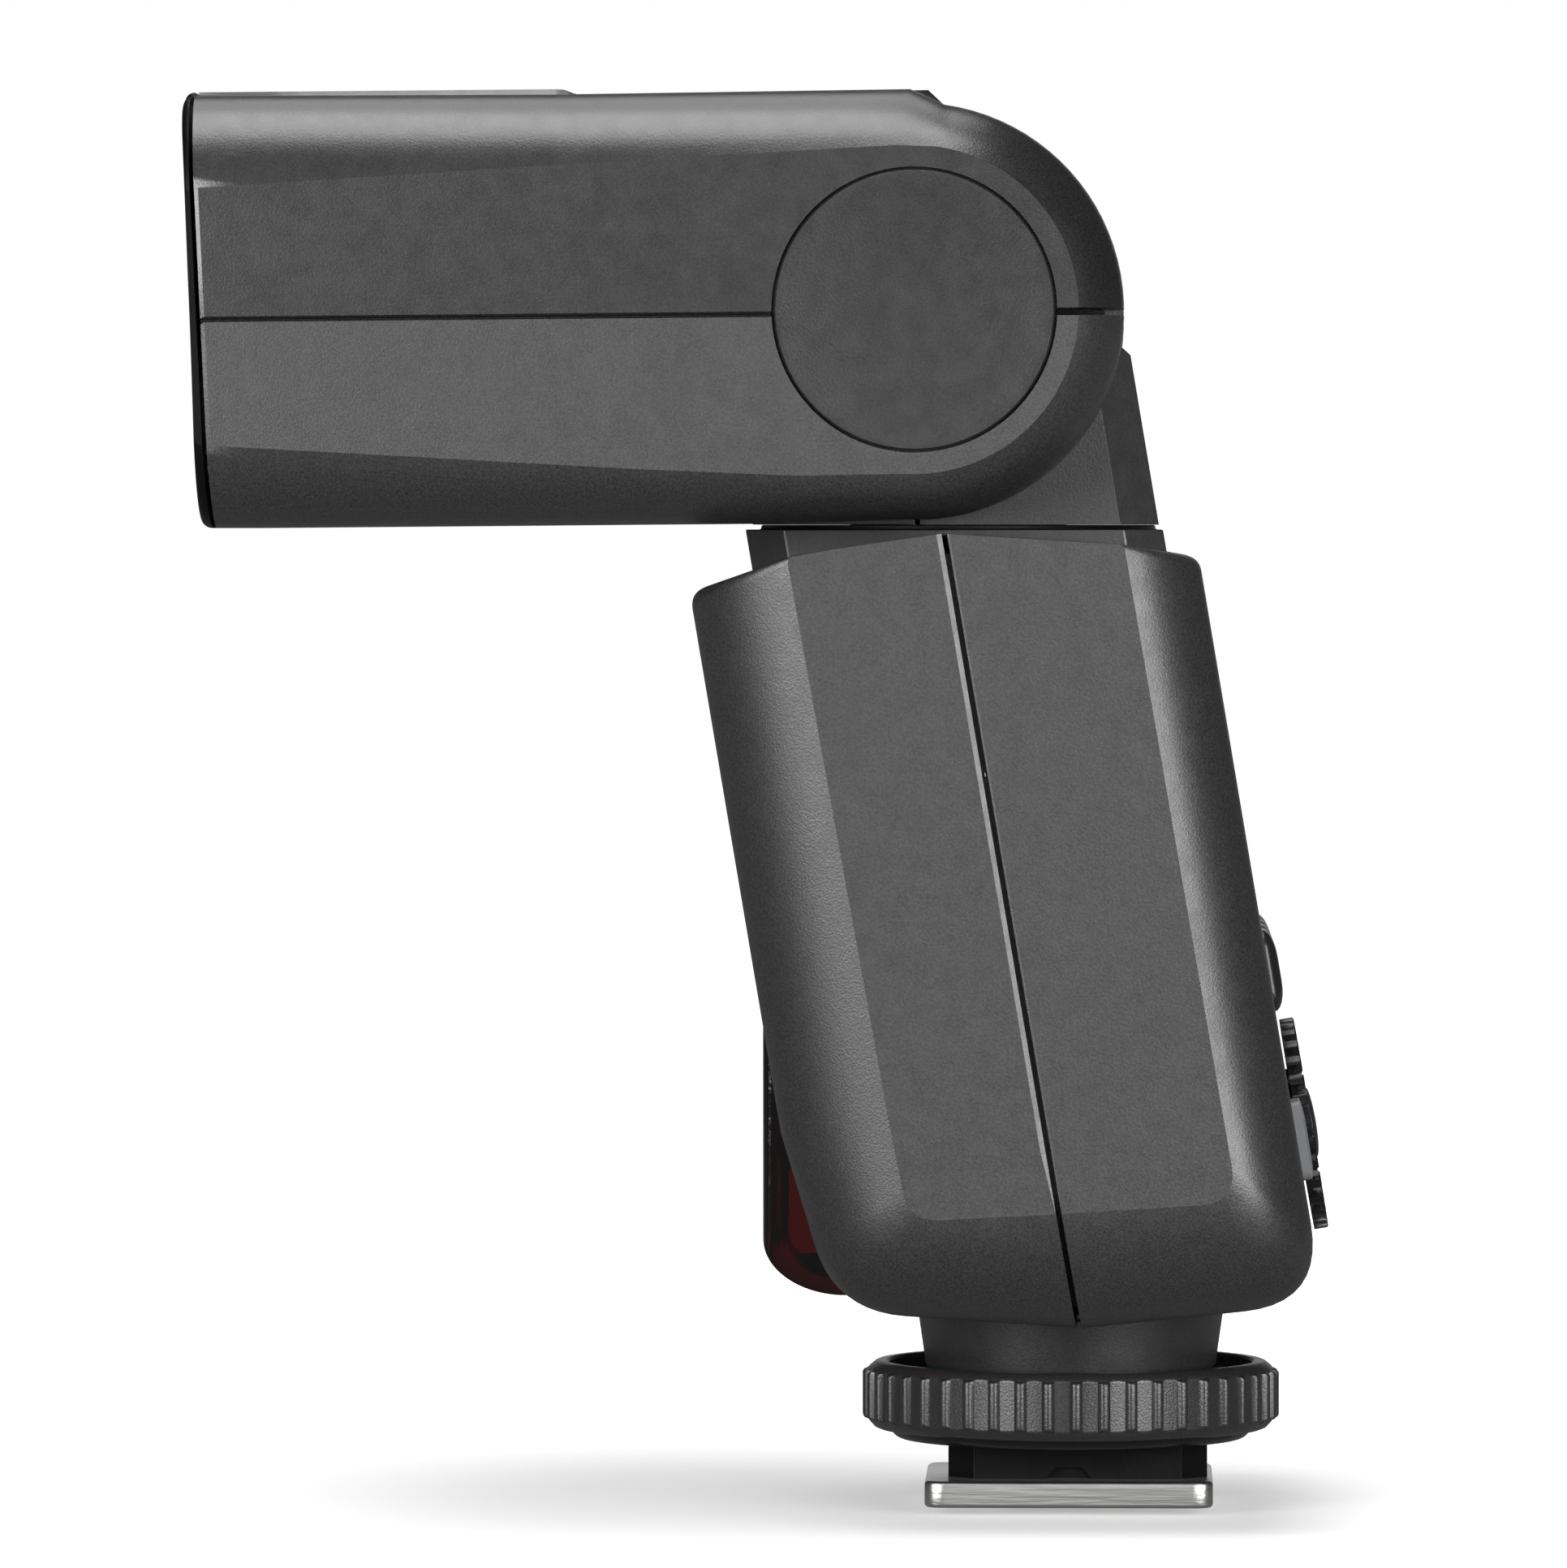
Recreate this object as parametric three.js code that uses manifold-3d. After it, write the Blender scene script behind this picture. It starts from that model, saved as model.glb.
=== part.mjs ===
// A compact speedlight flash: hot-shoe foot, leaning body, swivelling trunk and tilting zoom head.
// Millimetres, +Z up, the flash window faces -Y, +X is the flash's own left side.
// The origin is the middle of the foot plate's underside.
import * as THREE from 'three';
import { mergeVertices } from 'three/addons/utils/BufferGeometryUtils.js';
import Module from 'manifold-3d';

const wasm = await Module();
wasm.setup();

// Clearances and shared values
const gap = 0.3;
const seamGap = 0.36;
const cutOver = 3;
const turnSteps = 24;
const smallTurnSteps = 12;
const mergeDistance = 1e-4;
const cornerReachShare = 0.476;
const leastMiterShare = 0.5;

// Foot plate, contact block and pins
const plateLength = 21.2;
const plateWidth = 18.6;
const plateThickness = 1.95;
const plateCorner = 1.5;
const insertLength = 12;
const insertWidth = 9.6;
const insertPlace = 1.6;
const blockLength = 19.1;
const blockWidth = 12.4;
const blockPlace = 0.65;
const blockChamfer = 1.9;
const blockTop = 6.4;
const notchWidth = 3.6;
const notchHeight = 0.8;
const centrePinRadius = 1.1;
const centrePinPlace = -1.8;
const smallPinRadius = 0.7;
const smallPinSpacing = 5.8;
const smallPinRowPlaces = [3.3, 6.2];
const pinProud = 0.5;
const pinTop = 4.6;
const pinTravel = 0.5;
const pinTip = 0.3;
const lockPinRadius = 1;
const lockPinPlace = -7;
const lockPinInset = 0.3;
const footScrewSpacing = 8;
const footScrewPlace = 8.6;
const footScrewHeadRadius = 1.6;
const footScrewHeadDepth = 1;
const footScrewRadius = 0.8;
const footScrewLength = 5.2;
const footScrewSlot = 0.5;
const footScrewSlotShare = 0.6;

// Lock ring and clamp washer
const ringPlace = 0.1;
const ringRadius = 15.45;
const ringRibDepth = 0.45;
const ringRibs = 46;
const ringRibShare = 0.46;
const ringBottom = 5.3;
const ringTop = 10.3;
const ringRibBottom = 6.05;
const ringRibTop = 9.65;
const ringChamfer = 0.5;
const ringMouthRadius = 13.5;
const ringWebBottom = 7.9;
const ringWebTop = 9.3;
const stemRadius = 8;
const washerRadius = 13.35;
const washerBottom = 4.55;
const washerThickness = 1.5;
const washerEdge = 0.5;
const washerRimWidth = 1.9;

// Neck
const neckBottom = 9.85;
const neckBottomRadius = 10.75;
const neckTop = 19;
const neckTopRadius = 12.05;
const neckBore = 5;
const neckSpigotTop = 19.3;

// Body: a leaning frame whose own axes are x, u (to the rear) and w (up the lean)
const leanAngle = THREE.MathUtils.degToRad(9.58);
const bodyBase = 15.5;
const bodySideRoom = 0.6;
const bodyDepth = 36.7;
const bodyHeight = 57;
const bodyRoll = 7.6;
const bodyWall = 2;
const bodySeamPlace = 0.6;

// Shares of half the body's depth and of its height; a rounded corner adds its radius share and steps
const bodyFullShares = [
  [-1, 0.976, 0.082, 2],
  [-0.572, 1],
  [0.027, 0.996],
  [0.717, 0.944],
  [1, 0.912, 0.075, 2],
  [1, -0.037, 0.332, 6],
  [0.045, -0.0175],
  [-0.909, 0.054, 0.403, 6],
  [-1, 0.281],
];
const bodyFlatShares = [
  [-0.589, 0.999, 0.03, 2],
  [-0.381, 0.999],
  [0.027, 0.996],
  [0.49, 0.961],
  [0.717, 0.944, 0.03, 2],
  [0.73, 0.105, 0.136, 6],
  [0.045, 0.128],
  [-0.55, 0.15, 0.136, 6],
  [-0.562, 0.281],
];

// Focus-assist lamp: smoked window with the lamp block behind it
const assistFront = -22.3;
const assistHalfWidth = 15;
const assistCornerLength = 6.05;
const assistCornerHeight = 4.2;
const assistCornerTop = 20.2;
const assistTop = 37.5;
const assistInner = -12;
const assistWall = 1.1;
const assistSideChamfer = 1.6;
const assistSteps = 7;
const lampBlockHalfWidth = 10;
const lampBlockTop = 25;
const lampBlockInset = 0.7;

// Rear controls
const dialHeight = 9.3;
const dialRadius = 7.9;
const dialToothDepth = 0.6;
const dialTeeth = 30;
const dialToothShare = 0.5;
const dialOut = 19.72;
const dialCollarRadius = 8.5;
const dialHubRadius = 4.2;
const dialHubIn = 13.6;
const setButtonRadius = 2.6;
const setButtonOut = 20.1;
const setButtonIn = 13;
const keyHeight = 21.6;
const keyTall = 6;
const keyWide = 8.4;
const keySpacing = 10.6;
const keyCount = 4;
const keyOut = 19.2;
const keyDome = 0.55;
const keyFlange = 0.7;
const keyFlangeThickness = 0.9;
const sideControlInset = 12.8;
const testButtonHeight = 9.1;
const testButtonTall = 5.8;
const testButtonWide = 5.6;
const testButtonOut = 19.2;
const sliderHeight = 7.2;
const sliderTall = 3.6;
const sliderWide = 5;
const sliderOut = 19.1;
const sliderTravel = 3.6;
const sliderStemWidth = 2;

// Display, board and power pieces
const lcdLift = 4.8;
const lcdTopInset = 7.6;
const lcdBottom = keyHeight + keyTall / 2 + lcdLift;
const lcdTall = bodyHeight - lcdTopInset - lcdBottom;
const lcdHeight = lcdBottom + lcdTall / 2;
const lcdWide = 33;
const lcdThickness = 0.9;
const lcdLedge = 1.5;
const lcdModuleThickness = 3.4;
const boardPlace = 10.2;
const boardThickness = 1.6;
const boardWide = 47;
const boardBottom = 7;
const boardTopInset = 10;
const boardTop = bodyHeight - boardTopInset;
const cellRadius = 7.1;
const cellLength = 49.2;
const cellNubRadius = 2.7;
const cellNubLength = 1.1;
const cellPlace = 0.7;
const cellPitch = 15;
const trayWall = 1.2;
const trayBottom = 5.6;
const contactThickness = 0.5;
const capacitorHeadroom = 7.2;
const capacitorLength = 38;
const capacitorInset = 5.35;
const transformerWide = 13;
const transformerDeep = 6.4;
const transformerTall = 11;
const transformerInset = 15;
const transformerHeight = 26;

// Battery door on the right side, with its slide rail
const doorFront = -8.6;
const doorRear = 10.4;
const doorTop = 38;
const doorDepth = 2.4;
const doorTravel = 3;
const doorPinRadius = 0.5;
const doorEdgeRadius = 1.2;
const knuckleTall = 4;
const knuckleHeights = [15, 31];
const knuckleRadius = 0.95;
const railThickness = 1.2;
const railWide = 2.6;
const railFloor = 9.5;
const railTop = 36;
const springPadRadius = 3.2;
const springTipRadius = 1.8;
const springPlateThickness = 0.5;

// The body is as wide as a cell between its door and its contact needs
const bodyWidth = doorDepth + railThickness + cellLength + cellNubLength + contactThickness + trayWall
  + bodyWall + 6 * gap + bodySideRoom;

const testButtonPlace = bodyWidth / 2 - sideControlInset;
const sliderPlace = -testButtonPlace;
const transformerPlace = bodyWidth / 2 - transformerInset;

// Collar and swivel
const collarWidth = 34.4;
const collarFront = -13.86;
const collarRear = 16.14;
const collarChamfer = 2.8;
const collarRise = 0.145;
const collarTop = bodyBase + bodyHeight * Math.cos(leanAngle) + collarRise;
const collarInside = 6;
const collarBottom = bodyHeight - collarInside;
const collarWall = 1.6;
const collarDeck = 3;
const swivelSetback = 1.236;
const swivelPlace = swivelSetback - bodyHeight * Math.sin(leanAngle);
const hubRadius = 8;
const hubBore = 6;
const hubFlangeRadius = 11;
const hubFlangeThickness = 1.5;
const retainerRadius = 10.5;
const retainerThickness = 1.1;
const hubEnd = 0.3;

// Trunk, measured from the tilt pivot
const pivotForward = 2.73;
const pivotPlace = swivelPlace - pivotForward;
const trunkWidth = 34.4;
const trunkBottom = -15.36;
const trunkClearance = 0.35;
const pivotHeight = collarTop + trunkClearance - trunkBottom;
const trunkFront = -12.07;
const trunkRear = 17.54;
const trunkShoulderHeight = -3.02;
const trunkShoulderPlace = 15.47;
const trunkChamferHeight = 0.53;
const trunkChamferDepth = 0.59;
const trunkCorner = 2.8;
const drumRadius = 13.4;
const drumSteps = 16;
const trunkWall = 2;
const axleRadius = 4.5;
const axleBore = 2.6;
const axleInnerFlange = 6.4;
const axleOuterFlange = 7;
const axleFlangeThickness = 1.4;

// Head, measured from the tilt pivot
const cheekThickness = 13.4;
const slotClearance = 0.4;
const slotHalfWidth = trunkWidth / 2 + slotClearance;
const headWidth = 2 * (slotHalfWidth + cheekThickness);
const headRoll = 6.5;
const headReach = 53;
const headRise = 15.95;
const headRadius = 15;
const headFlatRadius = 11.75;
const headWall = 1.8;
const headArcSteps = 14;
const headSeamRear = -0.1;
const headSeamFront = -0.7;
const headSeamGap = 0.4;
const raisedInset = 9.5;
const raisedHalfWidth = headWidth / 2 - raisedInset;
const slotRadius = 13.9;
const slotSteps = 14;
const slotRear = 22;
const topEnd = 0.84;
const topEndChamfer = 1.23;
const capRadius = 10.05;
const capGap = 0.2;
const capThickness = 1.5;
const capDish = 0.25;
const capDishShare = 0.7;
const capLedge = 1.8;
const capLedgeThickness = 1.5;
const frontSlant = THREE.MathUtils.degToRad(2.75);
const bezelStrip = 0.75;
const bezelDepth = 1.2;
const bezelWall = 1;
const bezelCorner = 3;
const windowInset = 6.5;
const windowWide = headWidth - 2 * windowInset;
const windowTop = 10.4;
const windowBottom = -12;
const lensFlange = 0.8;
const lensRecess = 0.5;
const lensRidges = 18;
const lensRidgeHeight = 0.35;

// Shares of the head's reach and of its rise; a rounded corner adds its radius share and steps
const headTopShares = [
  [-1, 0.998, 0.055, 3],
  [-0.493, 1.01],
  [-0.456, 0.982],
];
const headPlainTopShares = [
  [-0.997, 0.975, 0.055, 3],
  [-0.493, 0.98],
  [-0.456, 0.982],
];
const headFlatTopShares = [
  [-0.984, 0.545, 0.04, 3],
  [-0.493, 0.648],
  [-0.456, 0.655],
];
const headBottomShares = [
  [-0.16, -0.958],
  [-0.38, -0.964],
  [-0.972, -0.981, 0.055, 3],
];
const headFlatBottomShares = [
  [-0.16, -0.745],
  [-0.38, -0.714],
  [-0.974, -0.606, 0.04, 3],
];
const headEndHeightShare = 1.0056;

// Pull-out wide panel and bounce card in the raised top
const panelInset = 8.8;
const panelHalfWidth = headWidth / 2 - panelInset;
const panelLength = 25;
const panelFrontInset = 0.8;
const panelBack = panelLength + panelFrontInset - headReach;
const widePanelThickness = 1;
const cardThickness = 0.8;
const panelBayTop = 15.05;
const panelLip = 0.6;
const trayFloor = 1;
const trayRail = 0.9;

// Zoom mechanism: the reflector's travel and its depth share the room in front of the trunk's slot
const reflectorInset = 5.4;
const carriageBack = 2;
const carriageRearRoom = 6.6;
const zoomRoom = headReach - reflectorInset - slotRadius - headWall - carriageBack - carriageRearRoom - gap;
const zoomTravelShare = 12 / 23;
const zoomTravel = zoomRoom * zoomTravelShare;
const reflectorDepth = zoomRoom - zoomTravel;
const reflectorMouth = reflectorInset + zoomTravel - headReach;
const reflectorTall = 20;
const reflectorCentre = -0.9;
const reflectorEndInset = 4;
const reflectorHalfLength = windowWide / 2 - reflectorEndInset;
const reflectorWall = 0.7;
const reflectorSteps = 12;
const tubeRadius = 1.9;
const tubeOverhang = 3.1;
const tubeHalfLength = reflectorHalfLength + tubeOverhang;
const tubeSetback = 3.4;
const carriageOverhang = 2.3;
const carriageHalfWidth = windowWide / 2 + carriageOverhang;
const carriageArm = 1.8;
const screwInset = 0.6;
const screwPlace = windowWide / 2 - screwInset;
const screwHeight = -6;
const screwRadius = 1.2;
const screwFrontInset = 4.8;
const screwFront = screwFrontInset - headReach;
const motorRadius = 3.6;
const motorRear = -9;
const motorSetback = 4.6;
const motorFront = reflectorMouth + reflectorDepth + motorSetback;
const rodOverrun = 3.9;
const rodRear = motorFront + rodOverrun;

// Unit vectors for placing shapes
const ALONG_X = new THREE.Matrix4().makeBasis(
  new THREE.Vector3(0, 1, 0), new THREE.Vector3(0, 0, 1), new THREE.Vector3(1, 0, 0));
const ALONG_Y = new THREE.Matrix4().makeBasis(
  new THREE.Vector3(0, 0, 1), new THREE.Vector3(1, 0, 0), new THREE.Vector3(0, 1, 0));

// A closed three.js geometry, moved by a matrix if one is given, as a solid to cut and join.
function solid(geometry, matrix) {
  const bare = geometry.clone();
  bare.deleteAttribute('normal');
  bare.deleteAttribute('uv');
  if (matrix) bare.applyMatrix4(matrix);
  const merged = mergeVertices(bare, mergeDistance);
  return new wasm.Manifold(new wasm.Mesh({
    numProp: 3,
    vertProperties: merged.attributes.position.array,
    triVerts: new Uint32Array(merged.index.array),
  }));
}

// A solid back as a three.js geometry.
function geometryOf(shape) {
  const mesh = shape.getMesh();
  const geometry = new THREE.BufferGeometry();
  geometry.setAttribute('position', new THREE.BufferAttribute(mesh.vertProperties, 3));
  geometry.setIndex(new THREE.BufferAttribute(mesh.triVerts, 1));
  const facets = geometry.toNonIndexed();
  facets.computeVertexNormals();
  return facets;
}

const union = (first, ...others) => others.reduce((sum, other) => sum.add(other), first);
const cut = (first, ...others) => others.reduce((rest, other) => rest.subtract(other), first);
const overlapOf = (first, ...others) => others.reduce((rest, other) => rest.intersect(other), first);

// A geometry from rings of equally many points, closed by flat caps; the rings run towards +X.
function loft(rings) {
  const count = rings[0].length;
  const positions = rings.flat().flatMap((point) => [point.x, point.y, point.z]);
  const index = [];
  for (let ring = 0; ring + 1 < rings.length; ring++) {
    for (let i = 0; i < count; i++) {
      const a = ring * count + i;
      const b = ring * count + ((i + 1) % count);
      index.push(a, b, a + count, b, b + count, a + count);
    }
  }
  const capOf = (ring) => THREE.ShapeUtils.triangulateShape(
    ring.map((point) => new THREE.Vector2(point.y, point.z)), []);
  const last = (rings.length - 1) * count;
  for (const [a, b, c] of capOf(rings[0])) index.push(a, c, b);
  for (const [a, b, c] of capOf(rings.at(-1))) index.push(last + a, last + b, last + c);
  const geometry = new THREE.BufferGeometry();
  geometry.setAttribute('position', new THREE.Float32BufferAttribute(positions, 3));
  geometry.setIndex(index);
  return geometry;
}

const areaOf = (outline) => THREE.ShapeUtils.area(outline.map(([a, b]) => new THREE.Vector2(a, b)));
const counterClockwise = (outline) => (areaOf(outline) < 0 ? [...outline].reverse() : outline);

// Extrudes an outline of pairs from one level to another along the matrix's third axis.
function prism(outline, from, to, matrix) {
  const shape = new THREE.Shape(counterClockwise(outline).map(([a, b]) => new THREE.Vector2(a, b)));
  const geometry = new THREE.ExtrudeGeometry(shape, { depth: to - from, bevelEnabled: false });
  geometry.translate(0, 0, from);
  return matrix ? geometry.applyMatrix4(matrix) : geometry;
}

// Outlines are (y, z) pairs along X, (z, x) pairs along Y and (x, y) pairs along Z.
const prismX = (outline, from, to) => prism(outline, from, to, ALONG_X);
const prismY = (outline, from, to) => prism(outline, from, to, ALONG_Y);

function box(x0, x1, y0, y1, z0, z1) {
  const geometry = new THREE.BoxGeometry(x1 - x0, y1 - y0, z1 - z0);
  return geometry.translate((x0 + x1) / 2, (y0 + y1) / 2, (z0 + z1) / 2);
}

// Rods along each axis, at a place across it and between two levels on it.
function rodX(y, z, radius, from, to, steps = turnSteps) {
  return new THREE.CylinderGeometry(radius, radius, to - from, steps)
    .rotateZ(-Math.PI / 2).translate((from + to) / 2, y, z);
}
function rodY(x, z, radius, from, to, steps = turnSteps) {
  return new THREE.CylinderGeometry(radius, radius, to - from, steps)
    .translate(x, (from + to) / 2, z);
}
function rodZ(x, y, radius, from, to, steps = turnSteps) {
  return new THREE.CylinderGeometry(radius, radius, to - from, steps)
    .rotateX(Math.PI / 2).translate(x, y, (from + to) / 2);
}

// A turned piece about a vertical axis, from a closed profile of (radius, height) pairs.
function turnedZ(x, y, profile, steps = turnSteps) {
  const points = counterClockwise(profile).map(([r, z]) => new THREE.Vector2(r, z));
  points.push(points[0].clone());
  return new THREE.LatheGeometry(points, steps).rotateX(Math.PI / 2).translate(x, y, 0);
}

// The same about an axis along Y, heights then being y values.
function turnedY(x, z, profile, steps = turnSteps) {
  const points = counterClockwise(profile).map(([r, y]) => new THREE.Vector2(r, y));
  points.push(points[0].clone());
  return new THREE.LatheGeometry(points, steps).translate(x, 0, z);
}

// The same about an axis along X, heights then being x values.
function turnedX(y, z, profile, steps = turnSteps) {
  const points = counterClockwise(profile).map(([r, x]) => new THREE.Vector2(r, x));
  points.push(points[0].clone());
  return new THREE.LatheGeometry(points, steps).rotateZ(-Math.PI / 2).translate(0, y, z);
}

const rectangle = (a0, a1, b0, b1) => [[a0, b0], [a1, b0], [a1, b1], [a0, b1]];

// A rectangle with its four corners cut off.
const chamfered = (a0, a1, b0, b1, c) => [
  [a0 + c, b0], [a1 - c, b0], [a1, b0 + c], [a1, b1 - c],
  [a1 - c, b1], [a0 + c, b1], [a0, b1 - c], [a0, b0 + c],
];

// An outline with its corners rounded: each corner is [a, b, radius, steps], or [a, b] where it is sharp.
function rounded(corners) {
  return corners.flatMap(([a, b, radius, steps], i) => {
    if (!radius) return [[a, b]];
    const here = new THREE.Vector2(a, b);
    const back = new THREE.Vector2(...corners.at(i - 1).slice(0, 2)).sub(here);
    const on = new THREE.Vector2(...corners[(i + 1) % corners.length].slice(0, 2)).sub(here);
    const turn = Math.PI - Math.abs(back.angleTo(on));
    const reach = Math.min(radius * Math.tan(turn / 2), back.length() * cornerReachShare,
      on.length() * cornerReachShare);
    const start = here.clone().add(back.setLength(reach));
    const end = here.clone().add(on.setLength(reach));
    return Array.from({ length: steps + 1 }, (_, k) => {
      const t = k / steps;
      return [
        (1 - t) ** 2 * start.x + 2 * t * (1 - t) * here.x + t ** 2 * end.x,
        (1 - t) ** 2 * start.y + 2 * t * (1 - t) * here.y + t ** 2 * end.y,
      ];
    });
  });
}

const roundedRectangle = (a0, a1, b0, b1, radius, steps = 3) =>
  rounded(rectangle(a0, a1, b0, b1).map(([a, b]) => [a, b, radius, steps]));

// Moves each point of an outline inwards by a wall, and takes the wall off its corner's radius.
function inset(outline, wall) {
  const side = Math.sign(areaOf(outline));
  return outline.map(([a, b, radius, steps], i) => {
    const before = outline.at(i - 1);
    const after = outline[(i + 1) % outline.length];
    const into = new THREE.Vector2(a - before[0], b - before[1]).normalize();
    const away = new THREE.Vector2(after[0] - a, after[1] - b).normalize();
    const normal = new THREE.Vector2(-into.y - away.y, into.x + away.x).normalize();
    const miter = Math.max(normal.dot(new THREE.Vector2(-into.y, into.x)), leastMiterShare);
    const moved = [a + (side * normal.x * wall) / miter, b + (side * normal.y * wall) / miter];
    return radius ? [...moved, Math.max(radius - wall, seamGap), steps] : moved;
  });
}

const scaledShares = (shares, a, b, radiusUnit) =>
  shares.map(([p, q, r, steps]) => [p * a, q * b, r * radiusUnit, steps]);

// Rings across a casing whose flat side rolls over into the full outline with a soft crease.
const rollShares = [[0, 0], [0.05, 0.24], [0.2, 0.55], [0.45, 0.81], [0.72, 0.95], [1, 1]];
function casing(full, flat, halfWidth, roll, middle = [], wall = 0) {
  const outer = rounded(inset(full, wall));
  const side = rounded(inset(flat, wall));
  const half = halfWidth - wall;
  const ringAt = (x, share, from, to) => from.map(([a, b], i) => new THREE.Vector3(
    x, THREE.MathUtils.lerp(a, to[i][0], share), THREE.MathUtils.lerp(b, to[i][1], share)));
  const leftSide = rollShares.map(([inwards, share]) => [half - roll * inwards, share, side, outer])
    .concat(middle.map(([x, outline]) => [x, 1, outer, rounded(inset(outline, wall))]));
  const rightSide = leftSide.map(([x, share, from, to]) => [-x, share, from, to]);
  const rings = [...rightSide, ...leftSide.reverse()].map((ring) => ringAt(...ring));
  return loft(rings);
}

const halfDepth = bodyDepth / 2;
const bodyFull = scaledShares(bodyFullShares, halfDepth, bodyHeight, halfDepth).reverse();
const bodyFlat = scaledShares(bodyFlatShares, halfDepth, bodyHeight, halfDepth).reverse();
const bodyHalf = bodyWidth / 2;
const bodyCasing = (wall) => casing(bodyFull, bodyFlat, bodyHalf, bodyRoll, [], wall);

// The leaning body frame inside the part's frame, and the way back into it
const bodyFrame = new THREE.Matrix4().makeRotationX(leanAngle).setPosition(0, 0, bodyBase);
const intoBody = bodyFrame.clone().invert();
const headFrame = new THREE.Matrix4().makeTranslation(0, pivotPlace, pivotHeight);
const groups = { world: new THREE.Group(), body: new THREE.Group(), head: new THREE.Group() };
groups.body.applyMatrix4(bodyFrame);
groups.head.applyMatrix4(headFrame);

const finishes = {
  casing: { color: 0x34363a, roughness: 0.62, metalness: 0 },
  gloss: { color: 0x141416, roughness: 0.3, metalness: 0 },
  grey: { color: 0x9c9ea2, roughness: 0.5, metalness: 0 },
  satinMetal: { color: 0xc4c4c2, roughness: 0.35, metalness: 1 },
  brass: { color: 0xc09a4e, roughness: 0.35, metalness: 1 },
  smokedRed: { color: 0x2a0608, roughness: 0.12, metalness: 0 },
  red: { color: 0xa00f1c, roughness: 0.4, metalness: 0 },
  glass: { color: 0xdfe6ea, roughness: 0.08, metalness: 0 },
  clear: { color: 0xe6e8e6, roughness: 0.25, metalness: 0 },
  white: { color: 0xf0f0ee, roughness: 0.6, metalness: 0 },
  board: { color: 0x1f5a36, roughness: 0.55, metalness: 0 },
  mirror: { color: 0xe8e8ea, roughness: 0.1, metalness: 1 },
  cell: { color: 0x2c4a78, roughness: 0.4, metalness: 0.2 },
};

// Names a shape, gives it a finish and puts it into one of the frames.
function add(name, frame, finish, shape) {
  const geometry = shape.isBufferGeometry ? shape : geometryOf(shape);
  const mesh = new THREE.Mesh(geometry, new THREE.MeshStandardMaterial(finishes[finish]));
  mesh.name = name;
  groups[frame].add(mesh);
}

// Shared places that follow from the sizes above
const rearFace = halfDepth;
const rearInner = halfDepth - bodyWall;
const blockFront = blockPlace - blockLength / 2;
const blockRear = blockPlace + blockLength / 2;
const smallPinPlaces = smallPinRowPlaces.flatMap((y) =>
  [-smallPinSpacing / 2, smallPinSpacing / 2].map((x) => [x, y]));
const footScrewPlaces = [-footScrewSpacing / 2, footScrewSpacing / 2].map((x) => [x, footScrewPlace]);
const lowerCellHeight = trayBottom + trayWall + gap + cellRadius;
const cellHeights = [lowerCellHeight, lowerCellHeight + cellPitch];
const trayTop = cellHeights[1] + cellRadius + gap + trayWall;
const trayHalf = cellRadius + gap + trayWall;
const trayEnd = -bodyHalf + doorDepth + gap + railThickness + gap;
const contactEnd = trayEnd + cellLength + cellNubLength + 2 * gap;
const keyPlaces = Array.from({ length: keyCount }, (_, i) => (i - (keyCount - 1) / 2) * keySpacing);

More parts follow.
